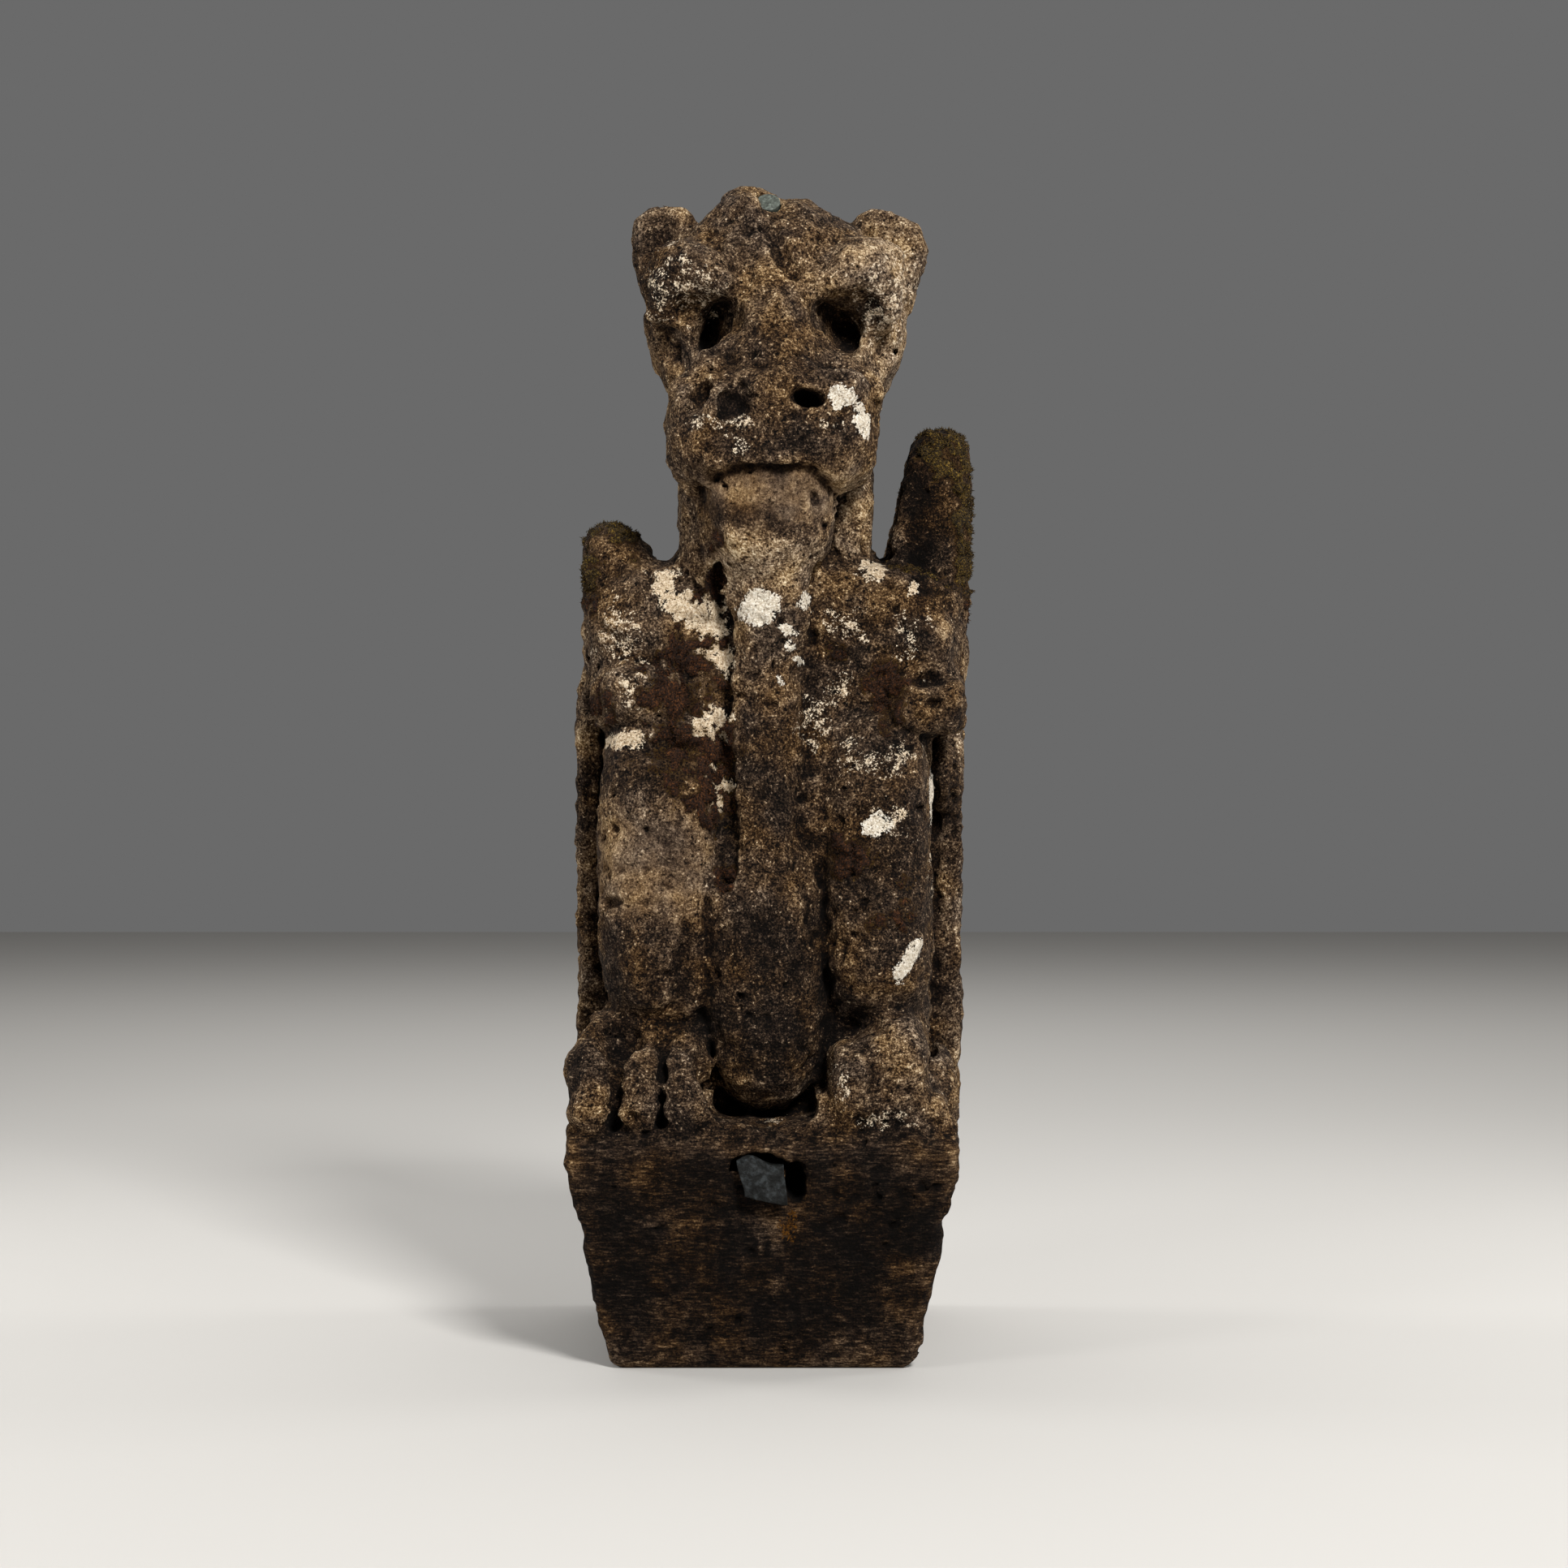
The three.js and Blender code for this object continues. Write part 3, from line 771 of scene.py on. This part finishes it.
# A row holds an ellipse's middle across and up and its half sizes, in millimetres, and its tone
# (-88, 900), and painted light on the throat (4, 662). The dark front of the block (0, 100) is partly
# Some rows paint light and shade: a painted shadow under the left knee (-95, 274), painted shade with moss
# damp stone and partly painted shade.
# on the inner side of the right wing (135, 720), the right ear, right cheek and right side of the neck
# painted lighter and the left ear darker as if lit from the right (102, 905), (104, 855), (78, 690),
region_tones_and_painted_light = [
    (10, 880, 120, 80, 0.42), (-50, 905, 40, 22, 0.44), (74, 905, 42, 22, 0.50),
    (102, 905, 26, 36, 0.64), (104, 855, 24, 50, 0.60), (12, 810, 42, 48, 0.33), (8, 765, 86, 40, 0.33),
    (4, 650, 90, 50, 0.42), (84, 872, 16, 16, 0.40), (78, 690, 22, 50, 0.58), (8, 620, 170, 60, 0.41),
    (100, 560, 60, 70, 0.33), (4, 610, 30, 50, 0.44), (4, 470, 34, 80, 0.30), (94, 400, 52, 110, 0.31),
    (-95, 274, 52, 15, 0.12), (-90, 490, 50, 22, 0.30), (4, 662, 46, 30, 0.62),
    (-84, 340, 58, 60, 0.30), (-88, 415, 58, 48, 0.52), (0, 300, 60, 80, 0.22),
    (-100, 240, 60, 40, 0.34), (96, 240, 44, 38, 0.42), (0, 100, 190, 92, 0.11),
    (0, 190, 180, 14, 0.27), (158, 380, 13, 150, 0.20), (-150, 380, 12, 150, 0.24),
    (122, 85, 18, 6, 0.36), (-90, 45, 50, 14, 0.24), (-70, 120, 30, 10, 0.22),
    (135, 720, 18, 100, 0.08), (160, 720, 20, 100, 0.26), (-135, 690, 34, 60, 0.38),
    (-88, 900, 22, 40, 0.28)]
for *ellipse, tone in region_tones_and_painted_light:
    stone_tone_and_painted_light += patch(*ellipse, ragged=0.2, soft=0.8) * (tone - stone_tone_and_painted_light)
# Random clouds of tone, painted shade in the hollows, and painted light on the jaw
stone_tone_and_painted_light += 0.05 * smooth_noise(spots, 60, 7) - 0.14 * painted_hollow_shade + 0.12 * clean_jaw_and_painted_light
jaw_band = patch(-5, 692, 46, 9, -16, ragged=0.15, soft=0.9)
washed_streak = patch(5, 119, 17, 31, ragged=0.9, soft=1.2)
stone_tone_and_painted_light -= 0.22 * jaw_band
flank_noise = 0.14 * smooth_noise(spots, 47, 94) + 0.12 * smooth_noise(spots, 19, 95)
stone_tone_and_painted_light += flank_noise * step_up(np.abs(x), 138, 150) * step_up(z, 205, 225)
# A painted highlight on edges and painted shade in creases
stone_tone_and_painted_light += 0.14 * edge - 0.22 * painted_crease_shade
stone_tone_and_painted_light -= 0.12 * step_up(-z, -150, 0) * (1 - front)
stone_tone_and_painted_light += 0.31 * washed_streak

# %% Pale crust, white lichen, moss and rust
# Rows as above, with a lean in degrees where there is a fifth number
pale_places = [
    (-80, 648, 13, 9), (-55, 622, 22, 13, -25), (-42, 600, 13, 20, 20), (-33, 577, 7, 10),
    (-40, 522, 14, 22), (-37, 480, 9, 18), (-112, 516, 22, 7), (126, 640, 9, 6), (92, 655, 8, 8)]
speck_places = [
    (113, 890, 9, 26, -10), (-34, 768, 30, 10), (-20, 750, 12, 8), (56, 766, 20, 9), (10, 205, 10, 6),
    (100, 206, 26, 8), (42, 527, 14, 26), (72, 610, 22, 20), (124, 600, 18, 26), (66, 560, 16, 20),
    (96, 500, 40, 18), (-100, 560, 26, 22), (-120, 600, 18, 30), (104, 452, 24, 20), (150, 400, 14, 30),
    (-70, 890, 40, 30), (100, 872, 24, 34), (128, 900, 22, 30), (64, 234, 9, 20)]
white_places = [
    (-1, 623, 16, 15), (35, 629, 4, 8), (21, 605, 8, 4, -25), (23, 592, 5, 4), (31, 580, 4, 3),
    (14, 563, 4, 3), (64, 791, 11, 9), (81, 772, 6, 15, 8), (94, 446, 12, 11), (121, 337, 6, 21, -30),
    (142, 470, 3, 22)]
moss_places = [
    (-68, 560, 26, 40, 10), (-60, 500, 30, 34), (-40, 466, 14, 26), (-36, 677, 8, 8), (-36, 650, 9, 9),
    (-46, 635, 8, 8), (-37, 595, 10, 9), (-39, 556, 11, 12), (-36, 520, 11, 12), (-37, 449, 9, 9),
    (-32, 403, 10, 10), (71, 420, 16, 16), (118, 373, 10, 11), (93, 369, 8, 8), (118, 396, 9, 9),
    (-131, 545, 10, 16), (102, 563, 15, 24), (62, 588, 8, 9), (104, 535, 9, 14), (158, 755, 22, 24),
    (168, 690, 9, 62), (-128, 692, 20, 12), (-143, 655, 8, 32)]
specks = patches(speck_places, soft=1.0, ragged=0.5)
pale = np.maximum(patches(pale_places, soft=0.6, ragged=0.6), 0.23 * specks)
white = patches(white_places, soft=0.4, ragged=0.2)
moss = patches(moss_places, soft=0.5, ragged=0.5)

on_wings = step_up(z, 630, 645) * step_up(-z, -800, -790) * step_up(np.abs(x), 98, 108)
moss = np.maximum(moss, 0.9 * top * on_wings)
bare_gaps = step_up(smooth_noise(spots, 9, 91) + 0.7 * smooth_noise(spots, 4.5, 92), -0.45, 0.0)
moss *= 0.25 + 0.75 * bare_gaps
behind = top * step_up(y, 0, 60) * step_up(smooth_noise(spots, 30, 90), -0.2, 0.4)
moss = np.maximum(moss, behind * (z < 800))
rust = 0.75 * patch(21, 118, 6, 13, ragged=0.4, soft=0.9)
streaks = np.clip(block_share + 0.5 * step_up(-z, -360, -300) * front, 0, 1)

layers = {
    "stone_tone_and_painted_light": stone_tone_and_painted_light, "speckle": speckle, "pale": pale, "white": white, "moss": moss,
    "rust": rust, "streaks": streaks}
for name, values in layers.items():
    store(carved, name, values)
print("moss on", int((moss > 0.5).sum()), "of", len(moss), "vertices")

white_thickness, pale_thickness = 1.3, 0.7
lichen_rise = (white_thickness * white + pale_thickness * pale) * (0.5 + 0.5 * smooth_noise(spots, 5, 93))
spots += facing * lichen_rise[:, None]
move(carved, spots)

# %% [markdown]
# ## Materials
#
# Each finish starts as a bare material. One function adds a node, sets its inputs and makes its
# links, and another turns an sRGB hex colour into the linear numbers that a socket takes.

# %% Helpers for materials
def linear(code):
    """A hex colour as linear RGBA: each share is (v + 0.055) / 1.055 to the 2.4, or v / 12.92 if dark."""
    shares = [int(code[i:i + 2], 16) / 255 for i in (1, 3, 5)]
    return (*[((v + 0.055) / 1.055) ** 2.4 if v > 0.04045 else v / 12.92 for v in shares], 1.0)


def bare_material(name):
    """A material with only a Principled shader, and that shader."""
    made = bpy.data.materials.new(name)
    made.use_nodes = True
    return made, made.node_tree.nodes["Principled BSDF"]


def fill(material, node, sockets):
    """Sets a node's inputs by name or number. An output is linked, any other value is set."""
    for name, value in sockets.items():
        if isinstance(value, bpy.types.NodeSocket):
            material.node_tree.links.new(value, node.inputs[name])
        else:
            node.inputs[name].default_value = value


def add(material, kind, sockets=None, **settings):
    """Adds a shader node of a kind, changes its settings and fills its inputs."""
    made = material.node_tree.nodes.new("ShaderNode" + kind)
    for name, value in settings.items():
        setattr(made, name, value)
    fill(material, made, sockets or {})
    return made


def weighted_sum(material, start, rows):
    """The start plus each value times its weight, as an output."""
    for value, weight in rows:
        start = add(material, "Math", {
            0: value, 1: weight, 2: start}, operation="MULTIPLY_ADD").outputs[0]
    return start


def ramped(material, share, stops):
    """The colour at a share on a ramp whose stops are places and hex colours."""
    ramp_node = add(material, "ValToRGB", {"Fac": share})
    ramp = ramp_node.color_ramp
    while len(ramp.elements) < len(stops):
        ramp.elements.new(1.0)
    for element, (place, code) in zip(ramp.elements, stops):
        element.position = place
        element.color = linear(code)
    return ramp_node.outputs["Color"]


mm = 0.001

# %% [markdown]
# ### Weathered stone
#
# A coarse sandy limestone: rough, no gloss, and strongly speckled, because each grain is either clean
# and pale or holds black crust. One number says how light the stone is. Grain of 2 mm, flecks of 3 mm,
# mottling of 8 mm, clouds of 38 mm and the squeezed noise of the beds are added to it, and a ramp turns
# the sum to colour. The grain is about twice as coarse as the real one, so that it shows.

# %% Stone colour
rock, stone_shader = bare_material("weathered_stone")
layer_of = {
    name: add(rock, "Attribute", attribute_name=name).outputs["Fac"] for name in layers}
place = add(rock, "TexCoord").outputs["Object"]
noise_kinds = {
    "grain": (1.9, 1, 4.0, 0.75), "fleck": (3.1, 1, 2.0, 0.6), "mottle": (8, 1, 4.0, 0.6),
    "cloud": (38, 1, 3.0, 0.5), "bed": (26, 7, 5.0, 0.7), "thin_bed": (9, 5, 3.0, 0.7)}
noise, swing = {}, {}
for name, (size, squeeze, detail, roughness) in noise_kinds.items():
    squeezed = add(rock, "Mapping", {"Vector": place, "Scale": (1, 1, squeeze)})
    noise[name] = add(rock, "TexNoise", {
        "Vector": squeezed.outputs["Vector"], "Scale": 1 / (size * mm), "Detail": detail,
        "Roughness": roughness}).outputs["Fac"]
    swing[name] = add(rock, "Math", {
        0: noise[name], 1: 0.5}, operation="SUBTRACT").outputs[0]

pale_fleck, black_fleck = (
    add(rock, "MapRange", {
        "Value": noise["fleck"], "From Min": first, "From Max": last}).outputs["Result"]
    for first, last in ((0.62, 0.72), (0.42, 0.32)))
flecks = weighted_sum(rock, pale_fleck, [(black_fleck, -1.0)])
speckled = weighted_sum(rock, swing["grain"], [(flecks, 0.2), (swing["mottle"], 0.42)])
bed_weight, thin_bed_weight = (
    add(rock, "Math", {
        0: layer_of["streaks"], 1: weight}, operation="MULTIPLY").outputs[0]
    for weight in (0.4, 1.15))
# The vertex tone carries painted shade and painted highlights as well as the stone's own tone
lightness = weighted_sum(rock, layer_of["stone_tone_and_painted_light"], [
    (speckled, layer_of["speckle"]), (swing["cloud"], 0.45), (swing["bed"], bed_weight),
    (swing["thin_bed"], thin_bed_weight)])
stone_colour = ramped(rock, lightness, [
    (0.0, "#070402"), (0.20, "#1A1008"), (0.40, "#3E2C1B"), (0.58, "#735A3F"), (0.78, "#B79B75"),
    (1.0, "#F0DDBB")])
warmth = add(rock, "MapRange", {
    "Value": noise["cloud"], "From Min": 0.36, "From Max": 0.64, "To Min": 0.78, "To Max": 1.06})
colour = add(rock, "HueSaturation", {
    "Saturation": warmth.outputs["Result"], "Color": stone_colour}).outputs["Color"]

# %% [markdown]
# ### What grows on it
#
# Pale crust, white lichen, moss and rust are painted over the stone one after another. For each the
# vertex number plus some mottling and grain is cut off sharply, so its border follows the grains.

# %% Growth over the stone
def grown(share, sharpness=7.0):
    """The cover of a growth from 0 to 1: its vertex number, broken by mottling and grain."""
    reach = add(rock, "MapRange", {"Value": share, "From Max": 0.25}).outputs["Result"]
    broken = weighted_sum(rock, swing["grain"], [(swing["mottle"], 0.95)])
    broken = add(rock, "Math", {0: broken, 1: reach}, operation="MULTIPLY").outputs[0]
    broken = weighted_sum(rock, share, [(broken, 3.2)])
    return add(rock, "MapRange", {
        "Value": broken, "From Min": 0.5 - 0.5 / sharpness, "From Max": 0.5 + 0.5 / sharpness,
    }, interpolation_type="SMOOTHSTEP").outputs["Result"]


growths = {
    "pale": [(0.30, "#5A4632"), (0.47, "#BFA685"), (0.64, "#F2E3CA")],
    "white": [(0.30, "#85725C"), (0.48, "#D2C4AE"), (0.66, "#FAF4E8")],
    "moss": [(0.35, "#0E0804"), (0.52, "#2A1A0C"), (0.70, "#54401C")],
    "rust": [(0.36, "#170D04"), (0.52, "#3B2409"), (0.68, "#6E4512")]}
for name, stops in growths.items():
    tint = ramped(rock, noise["grain"], stops)
    colour = add(rock, "Mix", {
        0: grown(layer_of[name]), 6: colour, 7: tint}, data_type="RGBA").outputs[2]
relief = weighted_sum(rock, noise["grain"], [(noise["mottle"], 1.8)])
stone_bump = add(rock, "Bump", {"Height": relief, "Distance": 3.2 * mm})
fill(rock, stone_shader, {
    "Base Color": colour, "Normal": stone_bump.outputs["Normal"], "Roughness": 0.95, "IOR": 1.5,
    "Specular IOR Level": 0.08})
carved.data.materials.append(rock)
print("stone material", len(rock.node_tree.nodes), "nodes")

# %% [markdown]
# ## Moss
#
# Moss stands a few millimetres proud of the stone in cushions, and frays into short stems on the
# wing tops. Its mesh starts from the faces of the stone that it grows on: they are divided once,
# pushed out by a soft thickness with small knobs, and given a wall, so the cushion fits exactly.

# %% Moss cushions
moss_thickness = 2.5
knob_height = 1.7
sunk_below = 0.8
wall_thickness = 2.5
faces = np.empty(len(carved.data.polygons) * 3, np.int32)
carved.data.loops.foreach_get("vertex_index", faces)
faces = faces.reshape(-1, 3)
mossy = faces[moss[faces].mean(axis=1) > 0.42]
used, mossy_faces = np.unique(mossy, return_inverse=True)
moss_mesh = mesh_from("moss_cushions", spots[used], mossy_faces.reshape(-1, 3))
cushions = placed("moss_cushions", moss_mesh)
store(cushions, "cover", moss[used])
store(cushions, "green", on_wings[used])
divide = cushions.modifiers.new("divide", "SUBSURF")
divide.subdivision_type = "SIMPLE"
divide.levels = divide.render_levels = 1
applied(cushions)

places, normals = mesh_arrays(cushions.data)
cover, green = stored(cushions, "cover"), stored(cushions, "green")
knobs = smooth_noise(places, 5, 61) + 0.8 * smooth_noise(places, 2.8, 62)
rise = moss_thickness * step_up(cover, 0.45, 0.95)
rise = rise + knob_height * knobs * step_up(cover, 0.45, 0.7) - sunk_below
places += normals * rise[:, None]
move(cushions, places)
wall = cushions.modifiers.new("wall", "SOLIDIFY")
wall.thickness = wall_thickness / 1000
wall.offset = -1.0
applied(cushions)
print("moss cushions", len(cushions.data.polygons), "faces")


# %% Moss stems
def stems(roots, directions, lengths, girth):
    """Closed thin pyramids. Three base points stand round each root at girth times two directions
    square to the stem, and the tip is the root plus the direction times the length."""
    helper = np.roll(directions, 1, axis=1)
    first = np.cross(directions, helper)
    first /= np.linalg.norm(first, axis=1, keepdims=True)
    second = np.cross(directions, first)
    ring = [
        roots - directions + girth * (math.cos(a) * first + math.sin(a) * second)
        for a in (0, math.tau / 3, 2 * math.tau / 3)]
    tips = roots + directions * lengths[:, None]
    corners = np.stack([*ring, tips], axis=1).reshape(-1, 3)
    pattern = np.array([(0, 1, 3), (1, 2, 3), (2, 0, 3), (2, 1, 0)])
    return corners, (4 * np.arange(len(roots))[:, None, None] + pattern).reshape(-1, 3)


stem_count = 26000
draw = np.random.default_rng(63)
grown_on = np.flatnonzero(cover > 0.6)
roots_at = draw.choice(grown_on, stem_count)
ways = normals[roots_at] + draw.normal(0, 0.45, (stem_count, 3))
ways /= np.linalg.norm(ways, axis=1, keepdims=True)
roots = places[roots_at] + draw.normal(0, 0.8, (stem_count, 3))
stem_points, stem_faces = stems(roots, ways, draw.uniform(0.8, 2.6, stem_count), 0.55)
moss_stems = placed("moss_stems", mesh_from("moss_stems", stem_points, stem_faces))
store(moss_stems, "green", np.repeat(green[roots_at], 4))
print("moss stems", stem_count)

# %% Moss material
living, living_shader = bare_material("moss")
moss_place = add(living, "TexCoord").outputs["Object"]
moss_fuzz = add(living, "TexNoise", {
    "Vector": moss_place, "Scale": 1 / (1.6 * mm), "Detail": 4.0, "Roughness": 0.7}).outputs["Fac"]
moss_cloud = add(living, "TexNoise", {
    "Vector": moss_place, "Scale": 1 / (22 * mm), "Detail": 2.0}).outputs["Fac"]
green_share = add(living, "Attribute", attribute_name="green").outputs["Fac"]
brown_moss = ramped(living, moss_fuzz, [
    (0.36, "#080401"), (0.50, "#201006"), (0.62, "#47280F"), (0.76, "#7A4E22")])
green_moss = ramped(living, moss_fuzz, [
    (0.36, "#0B0702"), (0.50, "#2A1E0A"), (0.62, "#5C4718"), (0.76, "#9C8836")])
moss_colour = add(living, "Mix", {
    0: green_share, 6: brown_moss, 7: green_moss}, data_type="RGBA").outputs[2]
moss_shade = add(living, "MapRange", {
    "Value": moss_cloud, "From Min": 0.3, "From Max": 0.7, "To Min": 0.6, "To Max": 1.5}).outputs["Result"]
moss_colour = add(living, "Mix", {
    0: 1.0, 6: moss_colour, 7: moss_shade}, data_type="RGBA", blend_type="MULTIPLY").outputs[2]
moss_bump = add(living, "Bump", {"Height": moss_fuzz, "Distance": 1.5 * mm}).outputs["Normal"]
fill(living, living_shader, {
    "Base Color": moss_colour, "Normal": moss_bump, "Roughness": 0.95, "Specular IOR Level": 0.2})
for piece in (cushions, moss_stems):
    piece.data.materials.append(living)
    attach(piece, "root")

# %% [markdown]
# ## The lead flap
#
# A plumber's offcut of sheet lead, 2.4 mm thick. It lies on the sill of the hole and was knocked down
# over the edge with a mallet, so its lip is uneven and its face is dented. A profile runs out of the
# hole and down, and is carried across a width that changes along it.

# %% Dull metal, for the flap and the dowel
def mottled_metal(name, size, roughness, stops, strength, depth, finish):
    """A metal whose colour and relief follow one noise. The sizes are in millimetres, and finish
    holds the shader's other inputs."""
    made, shader = bare_material(name)
    place = add(made, "TexCoord").outputs["Object"]
    bloom = add(made, "TexNoise", {
        "Vector": place, "Scale": 1 / (size * mm), "Detail": 5.0, "Roughness": roughness}).outputs["Fac"]
    bump = add(made, "Bump", {
        "Height": bloom, "Strength": strength, "Distance": depth * mm}).outputs["Normal"]
    fill(made, shader, {"Base Color": ramped(made, bloom, stops), "Normal": bump, **finish})
    return made


# %% Lead flap
lead_low, lead_high = (np.array(corner) * 1000 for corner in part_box("lead_spout_tongue"))
lead_thickness = 2.4
lip_bulge = 8.5
over_sill = 4.2
around_count, along_count = 34, 60
u, v = np.meshgrid(np.linspace(0, 1, around_count), np.linspace(0, 1, along_count), indexing="ij")
lip = 0.55
lip_rise = lip_bulge * np.exp(-((u - 0.26) / 0.3) ** 2) * np.exp(-((v - lip) / 0.16) ** 2)
inside_run = np.clip(v / lip, 0, 1)
down_run = np.clip((v - lip) / (1 - lip), 0, 1)
bend = step_up(down_run, 0, 0.28)
lead_y = lead_high[1] + (lead_low[1] + 6 - lead_high[1]) * inside_run - 5.5 * bend
lead_z = sill_height + over_sill + lip_rise - (lead_high[2] - lead_low[2] - 3) * down_run ** 1.15
shift = step_up(down_run, 0, 1)
left_side, right_side = 6.5 * shift - 20, 3 * shift + 18
lead_x = left_side + (right_side - left_side) * u
lead_z += (4.5 - 8 * u) * down_run * (1 - 0.3 * u)
flap_points = np.stack([lead_x, lead_y, lead_z], axis=-1).reshape(-1, 3)
flap_places = flap_points.astype(np.float32)
dents = 1.1 * smooth_noise(flap_places, 13, 71) + 0.5 * smooth_noise(flap_places, 6, 72)
flap_points[:, 1] += dents * down_run.ravel()
flap_points[:, 2] += 0.6 * dents * (1 - down_run.ravel())
number = np.arange(around_count * along_count).reshape(around_count, along_count)
flap_quads = np.stack(
    [number[:-1, :-1], number[:-1, 1:], number[1:, 1:], number[1:, :-1]], axis=-1).reshape(-1, 4)
flap = placed("lead_flap", mesh_from("lead_flap", flap_points, flap_quads))
sheet_wall = flap.modifiers.new("sheet", "SOLIDIFY")
sheet_wall.thickness = lead_thickness / 1000
sheet_wall.offset = 0
worn_rim = flap.modifiers.new("worn_rim", "BEVEL")
worn_rim.width = 0.0006
worn_rim.segments = 2
applied(flap)

lead_stops = [(0.34, "#050504"), (0.5, "#121312"), (0.68, "#2C2F30")]
dull_lead = mottled_metal("weathered_lead", 6, 0.65, lead_stops, 1.0, 1.5, {
    "Roughness": 0.6, "Specular IOR Level": 0.12})
flap.data.materials.append(dull_lead)
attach(flap, "root")
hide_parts("lead_spout_tongue")
print("lead flap", len(flap.data.polygons), "faces")

# %% [markdown]
# ## The dowel in the crown
#
# A copper alloy pin, cut off nearly flush. Its end was hammered, so it is slightly domed with a burred
# rim, and it has gone a dull green grey. Its profile is a radius and a height, carried round its axis.

# %% Crown dowel
ring_count, turn_count = 16, 48
r_share = np.concatenate([np.linspace(0, 1, ring_count), [1.0, 1.0, 0.0]])
rim = np.exp(-((r_share[:ring_count] - 0.93) / 0.08) ** 2)
pin_height = np.concatenate([
    0.9 * (1 - r_share[:ring_count] ** 2) + 0.6 * rim, [-1.0, -dowel_length, -dowel_length]])
angle = np.linspace(0, math.tau, turn_count, endpoint=False)
side_way = np.array((1.0, 0, 0))
up_way = np.cross(dowel_axis, side_way)
spread = dowel_radius * r_share[:, None, None]
pin_points = (
    dowel_face + pin_height[:, None, None] * dowel_axis
    + spread * (np.cos(angle)[None, :, None] * side_way + np.sin(angle)[None, :, None] * up_way))
pin_points = pin_points.reshape(-1, 3)
hammered = 0.35 * smooth_noise(pin_points.astype(np.float32), 5, 81)
pin_points += dowel_axis * (hammered * np.repeat(r_share < 0.9, turn_count))[:, None]
number = np.arange(len(r_share) * turn_count).reshape(len(r_share), turn_count)
after = np.roll(number, -1, axis=1)
pin_quads = np.stack([number[:-1], number[1:], after[1:], after[:-1]], axis=-1).reshape(-1, 4)
pin = placed("crown_pin", mesh_from("crown_pin", pin_points, pin_quads))
merge = pin.modifiers.new("close_poles", "WELD")
merge.merge_threshold = 0.00005
applied(pin)

patina_stops = [(0.32, "#1E201B"), (0.5, "#434840"), (0.7, "#6C736B")]
patina = mottled_metal("green_grey_patina", 3, 0.7, patina_stops, 0.7, 0.5, {
    "Metallic": 0.3, "Roughness": 0.6})
pin.data.materials.append(patina)
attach(pin, "root")
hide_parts("crown_dowel")

# %% Floor material
pale_floor, floor_shader = bare_material("pale_floor")
floor_shader.inputs["Base Color"].default_value = linear("#B4B1AC")
floor_shader.inputs["Roughness"].default_value = 0.8
floor.data.materials.append(pale_floor)
